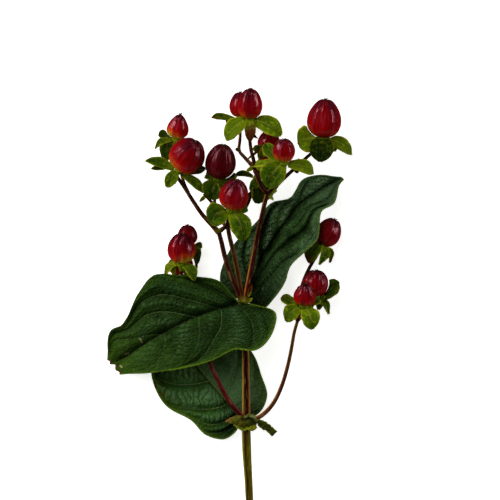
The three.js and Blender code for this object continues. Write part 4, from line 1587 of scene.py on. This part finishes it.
@dataclass
class TornStrip:
    """One strip of torn leaf tissue: the points of its middle line, each with its breadth."""

    route: list[tuple[float, float, float, float]]
    crumple: float = 0.6  # mm
    ragged: float = 0.22  # how uneven its breadth is
    tone: float = 0.0  # how dark it is, partly its own darker olive and partly painted shade
    bright: float = 0.0  # how bright its middle is
    pale: float = 0.0  # how whitish its middle is
    tan_start: float = 0.0  # how far from its start it is dried tan, as a share
    arch: float = 0.0  # mm that its middle stands above its edges
    rim: float = 1.0  # how bright its edges are
    columns: int = 24
    rows: int = 70

    def __post_init__(self) -> None:
        """Reads the middle line and the breadths from the route."""
        self.spine = Curve([point[:3] for point in self.route])
        self.breadths = tuple(point[3] for point in self.route)

    def spot(self, across: float, along: float) -> Spot:
        """Places a point of the strip, for its shares across and along."""
        ahead = self.spine.at(along + 0.01) - self.spine.at(along - 0.01)
        aside = ahead.cross(UP).normalized()
        side = 2 * across - 1
        middle = 1 - side**2
        breadth = spread(self.breadths, along)
        uneven = 1 + self.ragged * ripple(Vector((along * 20, 2 * side, self.crumple)), 1.2, 2.0)
        point = self.spine.at(along) + aside * side * breadth / 2 * uneven
        lump = ripple(point, 1.5, 5.0) + 0.6 * ripple(point, 0.7, 8.0)
        point.z += self.crumple * lump + self.arch * middle * math.sin(math.pi * along) ** 0.5
        fresh = ease(0.5 * self.tan_start - 0.01, 1.5 * self.tan_start, along)
        values = {
            "edge": max(self.bright, self.rim * ease(1.0, 0.0, (1 - abs(side)) * breadth / 1.4)),
            # painted shade: the strip's tone, and darker in the hollows of its crumples
            "tone": self.tone * fresh + 0.3 * max(0.0, -lump),
            "dry": ease(self.tan_start, 0.0, along) if self.tan_start else 0.0,
            "pale": self.pale * middle,
        }
        return Spot(point, Vector((side * breadth, along * 18, 0)), values)


@dataclass
class TornLeafBase:
    """The torn base of a leaf: crumpled strips that clasp the lower node, and a stub."""

    strips: list[TornStrip]
    thickness: float = 0.4

    def build(self, finishes: Finishes) -> None:
        """Builds the torn base.

        Args:
            finishes: The torn leaf's material.
        """
        piece = Piece("leaf_torn_base", TORN_VALUES)
        for strip in self.strips:
            piece.sheet(strip.columns, strip.rows, self.thickness, strip.spot)
        piece.finish("torn_leaf", finishes, "leaf_torn_base")


# ---- the plant's own measures

S, Look = Sepal, SepalLook  # short names for the tables

HEADS = [
    Head(
        "left_small", (-18.5, 65.1, 7.0), (-17.1, 73.3, 9.2), 7.5,
        (
            S((-24.7, 66.5, 7.6), 3.2, Look.DEEP), S((-25.9, 61.4, 8.8), 2.4),
            S((-22.2, 56.0, 4.6), 4.8, Look.DEEP), S((-13.3, 61.6, 4.0), 3.6, Look.DEEP),
            S((-16.8, 60.2, 2.4), 3.8, Look.DEEP),
        ),
        turn=70, taper=0.3, unripe=0.26, unripe_side=20, dip=0.35,
    ),
    Head(
        "left_large", (-17.5, 53.9, 13.0), (-11.4, 64.0, 18.0), 12.6,
        (
            S((-29.2, 57.0, 12.6), 3.8, Look.YELLOW_TIP), S((-22.0, 47.9, 14.0), 4.4, Look.CLEAR),
            S((-9.1, 45.8, 13.6), 3.4, Look.YELLOW_TIP), S((-8.4, 54.4, 10.6), 3.8),
            S((-12.6, 57.4, 6.6), 3.8),
        ),
        turn=50, unripe=0.2, unripe_side=40,
    ),
    Head(
        "centre_dark", (-3.8, 50.8, 13.0), (-1.9, 62.8, 17.0), 10.6,
        (
            S((-6.2, 43.5, 16.2), 8.4, Look.DEEP), S((-8.2, 51.8, 11.6), 3.2),
            S((2.4, 51.8, 14.2), 3.0), S((-1.0, 44.4, 16.8), 4.8, Look.DEEP),
            S((-5.2, 53.2, 6.6), 4.0, Look.DEEP),
        ),
        turn=40, overripe=0.8, unripe=0.0,
    ),
    Head(
        "centre_front", (0.7, 39.9, 20.5), (3.1, 50.4, 24.0), 10.5,
        (
            S((-6.8, 35.4, 22.4), 8.6, Look.GREEN), S((5.2, 28.9, 24.4), 7.6, Look.YELLOW_TIP),
            S((6.3, 40.6, 17.4), 4.0), S((-2.8, 35.3, 15.6), 4.4), S((3.1, 34.6, 15.4), 4.4),
        ),
        turn=65, unripe=0.14, unripe_side=60,
    ),
    Head(
        "crown_back", (3.8, 72.3, 4.6), (4.0, 81.5, 5.0), 7.6,
        (
            S((-6.3, 72.3, 6.4), 2.6, Look.BROWN_TIP), S((0.3, 68.2, 3.2), 4.0),
            S((7.0, 67.5, 2.8), 4.0), S((9.4, 72.8, 2.6), 3.4), S((2.4, 68.9, 6.8), 3.0),
        ),
        turn=40,
    ),
    Head(
        "crown_front", (7.2, 71.6, 13.0), (7.5, 82.4, 15.6), 8.7,
        (
            S((-1.0, 64.2, 15.6), 6.2, Look.LIGHT), S((18.2, 65.8, 15.6), 6.6, Look.CLEAR),
            S((7.3, 63.3, 15.8), 4.0, Look.DRIED), S((3.1, 70.3, 9.4), 4.0),
            S((11.9, 68.9, 8.4), 4.2),
        ),
        turn=90, unripe=0.16, unripe_side=30, neck_length=0.1,
    ),
    Head(
        "right_round", (19.2, 56.5, 18.5), (19.2, 64.6, 21.0), 8.0,
        (
            S((13.6, 47.6, 22.0), 9.2, Look.GREEN), S((29.7, 52.5, 17.4), 4.9, Look.LIGHT),
            S((12.2, 63.0, 14.4), 4.6), S((8.2, 54.9, 16.8), 3.6, Look.LIGHT),
            S((23.8, 52.8, 12.6), 4.0),
        ),
        turn=55, unripe=0.22, unripe_side=50, taper=0.05,
    ),
    Head(
        "right_tall", (32.9, 65.1, 9.5), (33.9, 78.9, 12.0), 11.9,
        (
            S((24.3, 62.6, 11.6), 9.6, Look.LIGHT), S((31.8, 56.7, 14.0), 9.0, Look.SHADED),
            S((43.0, 59.3, 9.8), 4.9, Look.LIGHT), S((29.0, 61.2, 3.6), 4.2),
            S((37.1, 60.5, 4.2), 4.2),
        ),
        turn=25, taper=0.18, unripe=0.0, neck_length=0.1,
    ),
    Head(
        "back_upper", (13.3, 59.8, 4.0), (14.7, 68.1, 3.7), 7.8,
        (
            S((8.9, 61.8, 5.6), 2.6), S((11.5, 56.3, 2.2), 3.2), S((16.4, 56.3, 1.8), 3.2),
            S((18.2, 60.5, 2.8), 3.0), S((14.0, 56.7, 6.4), 2.8),
        ),
        rests=True,
    ),
    Head(
        "back_lower", (10.0, 51.1, 9.5), (15.0, 58.3, 8.2), 7.6,
        (
            S((1.4, 51.3, 12.0), 2.2, Look.DEEP), S((7.3, 46.7, 12.2), 3.6),
            S((9.9, 42.2, 12.2), 8.2, Look.DEEP), S((15.4, 48.6, 9.0), 3.8),
            S((11.5, 47.9, 4.8), 3.8),
        ),
    ),
    Head(
        "right_side_top", (32.4, 27.5, 5.2), (37.4, 36.8, 4.0), 9.0,
        (
            S((27.8, 21.4, 6.6), 6.2, Look.BROWN_TIP), S((31.6, 20.8, 7.6), 3.4),
            S((35.2, 21.5, 6.0), 2.2, Look.BROWN_TIP), S((28.7, 25.9, 2.0), 3.4),
            S((34.6, 24.1, 1.8), 3.2),
        ),
        rests=True, turn=110, overripe=0.35, unripe=0.0, neck_length=-0.3,
    ),
    Head(
        "right_side_back", (29.9, 9.6, 6.0), (30.8, 18.9, 7.8), 9.4,
        (
            S((38.4, 14.8, 7.6), 5.8, Look.GREEN), S((32.4, 7.3, 8.6), 3.4),
            S((34.8, 3.5, 7.0), 2.8), S((24.0, 12.8, 5.0), 3.0), S((31.5, 4.9, 2.4), 3.6),
        ),
        turn=60, overripe=0.12, unripe=0.0, taper=0.03,
    ),
    Head(
        "right_side_front", (26.1, 6.6, 13.4), (26.9, 14.2, 16.4), 7.6,
        (
            S((18.0, 9.1, 12.4), 3.6, Look.BROWN_TIP), S((19.9, 1.0, 15.8), 5.6, Look.CLEAR),
            S((29.2, -1.8, 16.8), 6.8, Look.CLEAR), S((31.8, 8.4, 10.6), 3.4),
            S((22.4, 3.4, 9.0), 3.4),
        ),
        turn=90, unripe=0.13, taper=0.26, crease=0.3,
    ),
    Head(
        "left_side_front", (-16.8, 21.2, 12.0), (-16.3, 31.8, 14.4), 9.9,
        (
            S((-22.2, 16.6, 10.0), 2.8, Look.LIGHT), S((-18.9, 16.6, 10.2), 2.4, Look.YELLOW),
            S((-12.0, 15.2, 15.4), 3.9, Look.GREEN), S((-21.7, 20.3, 9.0), 3.2),
            S((-15.0, 17.1, 7.0), 3.6),
        ),
        turn=80, unripe=0.27, unripe_side=150, neck_length=0.2,
    ),
    Head(
        "left_side_back", (-14.5, 27.5, 5.0), (-14.7, 34.8, 5.0), 7.0,
        (
            S((-11.2, 21.0, 6.6), 3.2, Look.DEEP), S((-10.0, 26.1, 6.2), 2.4, Look.DEEP),
            S((-18.5, 24.5, 3.2), 3.0), S((-15.0, 23.1, 1.6), 3.2), S((-18.2, 28.3, 2.4), 2.8),
        ),
        overripe=0.55, unripe=0.0,
    ),
    Head(
        "left_side_low", (-15.7, 17.5, 4.4), (-18.4, 23.8, 4.2), 8.7,
        (
            S((-12.6, 16.8, 6.2), 3.2), S((-18.5, 14.0, 5.0), 3.2), S((-15.0, 13.6, 2.0), 3.2),
            S((-12.2, 18.9, 2.2), 3.0), S((-20.6, 16.4, 2.2), 3.0),
        ),
        rests=True,
    ),
]

SHOOTS = [
    Shoot(
        "main stem", (1.18, 1.2, 1.3, 1.5, 1.42, 1.22, 1.18, 1.15),
        [
            (8.2, -82.6, 1.2), (7.3, -65.1, 2.6), (6.8, -54.6, 4.2), (6.2, -44.1, 6.2),
            (6.0, -35.0, 8.4), (6.0, -26.6, 9.6), (5.8, -10.8, 11.6), (5.4, 1.4, 12.8),
            (5.2, 7.6, 13.3),
        ],
        MAIN_BARK, sides=40, cut=True,
    ),
    Shoot(
        "left shoot", (0.95, 0.78),
        [
            (4.7, 7.0, 13.3), (3.0, 11.9, 14.0), (0.7, 17.1, 15.0), (-1.3, 23.1, 15.8),
            (-2.8, 29.4, 16.2), (-3.7, 32.7, 16.4),
        ],
        DARK_BARK, fresh=3.4,
    ),
    Shoot(
        "left fork", (0.8, 0.62),
        [
            (-3.5, 32.0, 16.4), (-5.9, 34.5, 16.2), (-9.1, 38.0, 15.6), (-12.1, 42.3, 14.8),
            (-14.7, 46.4, 13.6), (-16.6, 49.3, 12.0),
        ],
        to="left_large", fresh=1.7,
    ),
    Shoot(
        "small berry stalk", (0.55, 0.5),
        [(-14.4, 46.0, 13.7), (-16.1, 50.4, 9.0), (-17.5, 55.6, 5.5), (-18.6, 60.0, 5.2)],
        to="left_small",
    ),
    Shoot(
        "right fork", (0.7, 0.6), [(-3.7, 32.3, 16.3), (-2.3, 33.2, 17.0), (-0.9, 34.5, 18.0)],
        to="centre_front", fresh=1.7,
    ),
    Shoot(
        "middle shoot", (0.95, 0.6),
        [
            (5.1, 7.0, 13.3), (4.0, 12.6, 14.0), (2.3, 21.7, 14.6), (1.0, 27.3, 14.8),
            (-0.2, 32.9, 14.6), (0.0, 36.0, 13.8), (2.1, 38.8, 12.6), (5.1, 40.1, 11.4),
            (7.0, 43.4, 9.6),
        ],
        OLIVE_BARK, to="back_lower", fresh=3.4,
    ),
    Shoot(
        "dark berry stalk", (0.6, 0.5),
        [(-0.1, 33.0, 14.5), (-3.5, 37.6, 13.6), (-5.0, 42.3, 12.6)],
        to="centre_dark",
    ),
    Shoot("dried stalk", (0.42, 0.3), [(6.3, 42.2, 10.3), (6.6, 45.0, 11.8), (9.1, 47.6, 13.2)]),
    Shoot(
        "failed stalk", (0.55, 0.4), [(-4.7, 41.0, 12.9), (-6.9, 43.5, 13.2), (-8.9, 45.5, 13.6)],
    ),
    Shoot(
        "right shoot", (0.95, 0.75),
        [
            (5.5, 7.0, 13.3), (6.6, 13.3, 14.2), (8.4, 22.4, 14.8), (9.7, 29.4, 15.0),
            (11.2, 36.4, 15.0), (12.5, 42.3, 14.5), (13.6, 46.2, 14.0),
        ],
        ORANGE_BARK, fresh=3.4,
    ),
    Shoot(
        "crown shoot", (0.72, 0.68),
        [
            (13.4, 45.8, 14.0), (11.5, 47.9, 14.3), (10.3, 50.4, 14.4), (9.4, 53.2, 14.2),
            (8.8, 54.8, 13.8),
        ],
    ),
    Shoot(
        "crown back stalk", (0.66, 0.5),
        [
            (8.9, 54.5, 13.8), (7.3, 56.3, 12.5), (5.4, 58.4, 10.5), (3.6, 60.7, 8.5),
            (3.8, 64.4, 6.0), (3.9, 67.0, 4.9),
        ],
        to="crown_back",
    ),
    Shoot(
        "crown front stalk", (0.66, 0.55),
        [(8.9, 54.3, 13.8), (8.6, 57.4, 13.7), (7.7, 60.9, 13.2), (7.3, 64.4, 12.6)],
        to="crown_front",
    ),
    Shoot(
        "tall berry stalk", (0.66, 0.58),
        [
            (13.4, 45.6, 14.0), (16.8, 48.6, 12.0), (20.3, 52.0, 10.5), (24.5, 55.8, 9.5),
            (28.3, 59.3, 8.8),
        ],
        to="right_tall",
    ),
    Shoot(
        "round berry stalk", (0.66, 0.55),
        [(13.4, 45.7, 14.0), (15.6, 48.0, 15.2), (17.8, 51.0, 16.4)],
        to="right_round",
    ),
    Shoot(
        "back berry stalk", (0.6, 0.5),
        [(13.4, 45.7, 13.9), (16.3, 47.6, 10.0), (17.4, 50.8, 5.6), (15.2, 54.6, 3.9)],
        to="back_upper",
    ),
    Shoot(
        "left branch", (0.85, 0.6),
        [
            (6.0, -34.6, 8.6), (3.5, -31.3, 10.2), (0.7, -28.0, 11.0), (-2.8, -22.0, 11.0),
            (-6.6, -14.0, 10.6), (-10.5, -4.5, 10.0), (-13.6, 4.9, 9.5), (-15.6, 11.9, 9.3),
            (-16.1, 15.4, 9.6),
        ],
        CRIMSON_BARK,
    ),
    Shoot(
        "left front stalk", (0.55, 0.5), [(-16.0, 14.8, 9.5), (-16.6, 17.0, 10.6)],
        to="left_side_front",
    ),
    Shoot(
        "left back stalk", (0.5, 0.5),
        [(-16.0, 14.8, 9.5), (-12.4, 17.4, 8.0), (-11.5, 21.0, 5.0), (-12.7, 24.0, 4.3)],
        to="left_side_back",
    ),
    Shoot(
        "left low stalk", (0.5, 0.5), [(-16.0, 14.8, 9.5), (-13.2, 13.2, 8.0), (-12.8, 13.6, 5.8)],
        to="left_side_low",
    ),
    Shoot(
        "right branch", (0.8, 0.55),
        [
            (6.2, -34.0, 8.6), (9.6, -33.1, 9.0), (12.2, -31.5, 9.2), (15.4, -28.0, 9.4),
            (18.2, -22.4, 9.6), (20.5, -15.0, 9.8), (21.9, -8.4, 9.8), (22.9, -2.8, 9.8),
            (24.1, 1.4, 10.0),
        ],
        BROWN_BARK,
    ),
    Shoot(
        "right front stalk", (0.5, 0.5), [(23.9, 1.0, 10.0), (24.7, 2.6, 11.0)],
        to="right_side_front",
    ),
    Shoot(
        "right back stalk", (0.5, 0.5), [(23.9, 1.0, 10.0), (26.2, 3.3, 7.2), (28.6, 5.0, 5.6)],
        to="right_side_back",
    ),
    Shoot(
        "right top stalk", (0.5, 0.62),
        [
            (23.9, 1.0, 10.0), (24.4, 4.5, 6.0), (24.9, 9.1, 2.6), (25.8, 14.0, 1.9),
            (27.8, 18.8, 2.6), (29.8, 22.4, 4.0),
        ],
        to="right_side_top",
    ),
]

BRACTS = [
    Bract((6.6, 9.4, 14.4), (8.1, 14.0, 15.6), 1.1, Look.DRIED),
    Bract((6.6, 7.9, 13.8), (8.3, 9.1, 14.0), 1.1),
    Bract((-14.5, 46.2, 13.8), (-15.3, 47.7, 14.8), 1.0, Look.DRIED),
    Bract((-8.2, 44.8, 13.5), (-10.3, 42.9, 14.0), 1.3, Look.BROWN_TIP),
    Bract((-20.6, 55.7, 12.8), (-27.2, 54.3, 12.6), 2.4, Look.DEEP),
    Bract((5.9, 57.3, 11.6), (10.9, 61.2, 10.2), 0.5, Look.DRIED),
    Bract((9.0, 61.1, 9.8), (11.7, 62.6, 9.2), 1.5, Look.DEEP),
    Bract((8.0, 66.4, 12.8), (10.1, 64.9, 13.4), 0.8, Look.DRIED),
    Bract((13.4, 46.2, 14.2), (16.7, 46.6, 15.4), 2.0),
    Bract((13.9, 45.6, 14.0), (15.6, 43.2, 14.6), 1.3),
    Bract((8.8, 54.9, 13.9), (6.3, 53.6, 14.8), 1.4),
    Bract((8.9, 54.9, 13.9), (11.6, 54.3, 15.0), 1.6),
    Bract((3.7, 60.6, 8.6), (2.4, 61.4, 9.6), 1.0, Look.WITHERED),
    Bract((24.3, 55.7, 9.5), (24.4, 58.0, 10.6), 1.2, Look.WITHERED),
    Bract((23.9, 1.2, 10.1), (23.2, 4.0, 11.8), 1.6),
]

LEAVES = [
    Leaf(
        "leaf_front",
        [
            (3.0, 7.5, 15.5), (0.5, 10.6, 14.9), (-3.9, 15.0, 13.6), (-10.1, 16.3, 12.8),
            (-17.8, 16.8, 12.2), (-26.2, 17.1, 11.0), (-31.8, 10.8, 9.0), (-37.4, -0.3, 6.5),
            (-41.6, -2.8, 5.0), (-42.7, -12.9, 3.2),
        ],
        [
            (4.9, 7.3, 15.6), (3.1, 6.8, 15.6), (0.7, 6.1, 15.3), (-2.8, 5.1, 14.8),
            (-8.4, 3.5, 13.8), (-15.7, 0.3, 12.2), (-23.1, -3.5, 10.2), (-30.1, -7.7, 8.0),
            (-35.7, -11.5, 5.8), (-40.6, -14.3, 3.6),
        ],
        [
            (5.9, 7.3, 15.9), (10.1, 6.3, 17.2), (16.1, 3.8, 18.2), (15.0, -3.1, 18.2),
            (9.8, -8.8, 17.2), (2.4, -8.6, 16.0), (-5.9, -12.6, 14.2), (-17.1, -15.4, 11.5),
            (-27.6, -17.1, 8.0), (-38.5, -17.8, 4.0),
        ],
        [
            Vein(0.1, 0.425, 1.4, 1.05), Vein(0.22, 0.66, 0.2), Vein(0.333, 0.9, 0.75),
            Vein(0.49, 1.04, 0.75), Vein(0.68, 1.15, 0.5),
        ],
        [
            Vein(0.02, 0.24, 0.5), Vein(0.08, 0.4, 0.5), Vein(0.18, 0.55, 0.5),
            Vein(0.333, 0.78, 0.6, 1.3), Vein(0.48, 0.9, 0.15), Vein(0.66, 1.05, 0.15),
        ],
        quilt=1.6, groove=(2.6, 1.8), rib_depth=2.4, rib_breadth=1.8, rungs=(0.12, 0.14),
        wander=1.6, torn=1.3, young_tip=0.6, seed=3.0, rims=(0.15, 0.8), rib_line=0.1, pits=0.65,
        lift=0.9, vein_line=0.8,
        marks=(
            Mark((-31.3, -5.1), (-30.5, -6.6), 0.22), Mark((-36.6, -10.8), (-35.4, -10.3), 0.25),
            Mark((-38.3, -14.7), (-37.7, -15.3), 0.35),
        ),
    ),
    Leaf(
        "leaf_upper",
        [
            (4.9, 8.0, 11.1), (1.0, 10.1, 10.5), (-3.1, 15.4, 9.5), (-1.0, 23.4, 9.0),
            (3.8, 30.1, 9.0), (10.1, 36.0, 8.8), (14.7, 42.0, 8.2), (21.7, 44.1, 7.4),
            (25.9, 50.4, 6.8), (31.1, 52.0, 6.4), (39.2, 51.3, 6.0),
        ],
        [
            (5.9, 8.4, 11.1), (7.0, 10.8, 11.0), (8.4, 14.3, 10.5), (10.5, 19.9, 9.6),
            (13.6, 26.2, 9.0), (17.5, 31.8, 8.6), (21.0, 36.8, 8.4), (24.5, 41.3, 8.0),
            (29.0, 44.8, 7.6), (34.3, 48.3, 7.0), (39.9, 51.1, 6.0),
        ],
        [
            (7.7, 7.3, 11.0), (12.2, 5.6, 10.8), (16.1, 9.4, 10.4), (19.6, 14.7, 10.2),
            (21.3, 19.9, 10.5), (26.2, 25.2, 11.5), (30.8, 29.7, 12.2), (32.3, 39.4, 11.2),
            (36.7, 42.6, 9.2), (38.5, 48.8, 6.6), (40.2, 50.9, 6.0),
        ],
        [
            Vein(0.08, 0.42, 0.6), Vein(0.2, 0.56, 0.7), Vein(0.34, 0.7, 1.2),
            Vein(0.48, 0.82, 0.6), Vein(0.64, 0.95, 0.6),
        ],
        [
            Vein(0.02, 0.5, 0.6, 0.8), Vein(0.1, 0.78, 1.0, 0.6), Vein(0.4, 0.95, 0.5, 0.8),
            Vein(0.6, 1.05, 0.6),
        ],
        quilt=2.1, groove=(1.8, 1.2), rib_depth=3.6, rib_breadth=1.5, rungs=(0.8, 0.4), wander=2.0,
        pits=0.75, lumps=0.4, young_tip=0.6, seed=11.0, face=UPPER_LEAF_FACE_PAINTED_LIGHTER, rims=(0.3, 0.6),
        rib_line=0.1, vein_line=0.3, shade=1.15, satin=(0.15, -0.2),
    ),
    Leaf(
        "leaf_lower",
        [
            (3.8, -34.6, 5.9), (1.8, -38.1, 5.0), (-2.4, -40.6, 3.0), (-8.0, -39.0, 1.5),
            (-13.6, -33.6, 1.2), (-22.0, -28.7, 1.5), (-26.9, -18.9, 2.5), (-25.2, -7.3, 2.0),
            (-18.5, 3.5, 1.2),
        ],
        [
            (4.9, -33.9, 6.0), (3.8, -32.7, 5.8), (2.1, -30.8, 4.6), (-0.2, -28.0, 3.0),
            (-3.1, -24.5, 1.6), (-7.0, -19.9, 0.4), (-11.2, -14.7, 0.3), (-15.0, -7.3, 0.4),
            (-18.5, 3.8, 0.8),
        ],
        [
            (6.3, -33.2, 5.9), (8.4, -32.4, 6.2), (11.2, -30.4, 5.2), (13.3, -25.2, 4.4),
            (11.5, -18.9, 3.6), (8.4, -10.8, 3.0), (2.4, -3.8, 2.0), (-8.0, 2.1, 1.5),
            (-18.2, 4.2, 0.9),
        ],
        [Vein(0.1, 0.43), Vein(0.2, 0.56), Vein(0.375, 0.67), Vein(0.62, 0.79), Vein(0.8, 0.92)],
        [
            Vein(0.06, 0.3, 0.25), Vein(0.16, 0.48, 0.25), Vein(0.28, 0.62, 0.3),
            Vein(0.475, 0.8, 0.3), Vein(0.68, 0.92, 0.3),
        ],
        quilt=2.1, groove=(1.7, 1.1), rib_depth=1.1, rib_breadth=1.5, rungs=(0.6, 0.0), wander=1.6,
        pits=0.65, young_tip=0.9, seed=23.0, face=LOWER_LEAF_FACE_PAINTED_LIGHTER, rims=(0.6, 0.3), rib_line=1.0,
        vein_line=0.85, rung=1.6, shade=1.35, satin=(0.15, 1.0),
        marks=(
            Mark((-26.3, -21.0), (-26.0, -22.4), 0.7, pale=False),
            Mark((-23.5, -25.3), (-23.0, -24.6), 0.45, pale=False),
        ),
    ),
]

TORN_LEAF = [
    TornStrip(
        [
            (-1.4, -34.2, 10.0, 0.3), (0.5, -33.8, 10.7, 2.0), (2.7, -33.8, 11.2, 3.7),
            (5.2, -34.2, 11.3, 4.4), (7.8, -34.4, 11.1, 4.6), (9.8, -34.8, 10.4, 2.4),
        ],
        tone=0.5, tan_start=0.5, arch=0.4, crumple=0.35, rim=0.3,
    ),
    TornStrip(
        [
            (1.8, -35.2, 11.1, 0.6), (3.4, -36.0, 11.3, 1.2), (4.9, -36.7, 11.2, 1.6),
            (6.4, -36.4, 11.4, 1.1), (8.0, -36.6, 11.3, 1.9), (9.7, -35.9, 10.9, 1.2),
        ],
        crumple=0.3, bright=0.65, columns=12, rows=50,
    ),
    TornStrip(
        [
            (5.2, -32.8, 11.6, 0.6), (7.1, -31.9, 12.0, 1.2), (8.7, -32.7, 11.9, 1.4),
            (9.9, -34.2, 11.3, 1.0),
        ],
        crumple=0.45, tone=0.3, pale=1.2, columns=12, rows=30, rim=0.6,
    ),
    TornStrip(
        [
            (9.9, -33.7, 10.3, 1.1), (11.1, -34.8, 10.5, 2.8), (12.4, -35.7, 10.6, 3.2),
            (13.6, -36.4, 10.5, 2.5), (14.8, -37.4, 10.4, 2.5), (16.0, -38.6, 10.2, 2.9),
        ],
        crumple=0.35, tone=0.5, columns=14, rows=36,
    ),
]


# ---- studio


@dataclass
class Softbox:
    """A soft studio light: its place, its length and height, and its power in watts."""

    name: str
    place: Point
    size: tuple[float, float]
    watts: float
    mirrored: bool = True  # whether it shows in glossy surfaces


@dataclass
class Studio:
    """A pale table under soft light, seen from straight above."""

    aim: Point = (7.35, 25.9, 12.0)
    camera_height: float = 2000.0  # mm above the aim
    view_width: float = 175.0  # mm across the picture at the aim
    sensor: float = 36.0  # mm
    table_size: float = 1200.0
    table_drop: float = 0.1  # mm that it lies below the stem's lowest point
    zenith: str = "#1c1c1e"
    horizon: str = "#a0a0a2"
    below: str = "#141212"
    haze: float = 0.55  # how high the horizon's light reaches, 1 at the zenith
    lights: tuple[Softbox, ...] = (
        Softbox("key", (-700.0, 470.0, 380.0), (620.0, 170.0), 3.6),
        Softbox("fill", (800.0, 280.0, 290.0), (620.0, 150.0), 3.0),
        Softbox("overhead", (-500.0, 460.0, 640.0), (1000.0, 1000.0), 8.6, mirrored=False),
    )

    def aimed(self, place: Vector) -> Matrix:
        """Returns the matrix, in metres, of something at `place` that looks at the aim."""
        turn = (Vector(self.aim) - place).to_track_quat("-Z", "Y")
        return Matrix.Translation(place * MM) @ turn.to_matrix().to_4x4()

    def camera(self) -> None:
        """Adds the camera, straight above the aim with +Y up the picture."""
        data = bpy.data.cameras.new("camera")
        data.sensor_width = self.sensor
        data.lens = self.sensor * self.camera_height / self.view_width
        data.clip_end = 20.0  # metres, far beyond the table
        camera = put("camera", data)
        camera.location = (Vector(self.aim) + UP * self.camera_height) * MM
        bpy.context.scene.camera = camera

    def table(self) -> None:
        """Adds the pale table top."""
        mesh = bmesh.new()
        bmesh.ops.create_grid(mesh, x_segments=8, y_segments=8, size=self.table_size / 2 * MM)
        bmesh.ops.translate(mesh, vec=(0, 0, -self.table_drop * MM), verts=mesh.verts)
        table = put_mesh("table", mesh, (PaintedTable().make(),))
        table.visible_glossy = False  # its reflection would draw a white line round every berry

    def light(self) -> None:
        """Adds the softboxes and the light around, bright at the horizon and darker overhead."""
        for box in self.lights:
            data = bpy.data.lights.new(box.name, "AREA")
            data.shape = "RECTANGLE"
            data.size, data.size_y = (side * MM for side in box.size)
            data.energy = box.watts
            light = put(box.name, data)
            light.matrix_world = self.aimed(Vector(box.place))
            light.visible_glossy = box.mirrored
        s = Shader(bpy.data.worlds.new("studio"))
        place = s.add("TexCoord")
        height = s.add("SeparateXYZ", (place,), 2)
        above = s.add("MapRange", (height, 0.0, self.haze))
        under = s.add("MapRange", (height, 0.02, -0.02))
        colour = self.horizon
        for factor, over in ((above, self.zenith), (under, self.below)):
            colour = s.add("Mix", {s.SHARE: factor, s.UNDER: colour, s.OVER: over}, s.MIXED, **RGBA)
        s.add("OutputWorld", {"Surface": s.add("Background", {"Color": colour})})
        bpy.context.scene.world = s.owner
        bpy.context.scene.view_settings.view_transform = "Standard"

    def build(self) -> None:
        """Builds the camera, the table and the light."""
        self.camera()
        self.table()
        self.light()


# ---- the whole


def main() -> None:
    """Builds every piece of the stem and the studio around it."""
    logging.basicConfig(level=logging.INFO, format="%(name)s: %(message)s")
    Studio().build()
    sepal = SepalBlade().make()
    berry = (BerrySkin().make(), DriedStyle().make())
    under = LEAF_UNDERSIDE.make()
    WoodyStem(SHOOTS, BRACTS, HEADS).build((YoungBark().make(), CutPith().make()), sepal)
    for blade in LEAVES:
        blade.build((blade.face.make(), under))
    TornLeafBase(TORN_LEAF).build((TornBlade().make(),))
    for head in HEADS:
        Berry(head).build(berry)
        Calyx(head, HEADS).build((sepal,))


if __name__ == "__main__":
    main()
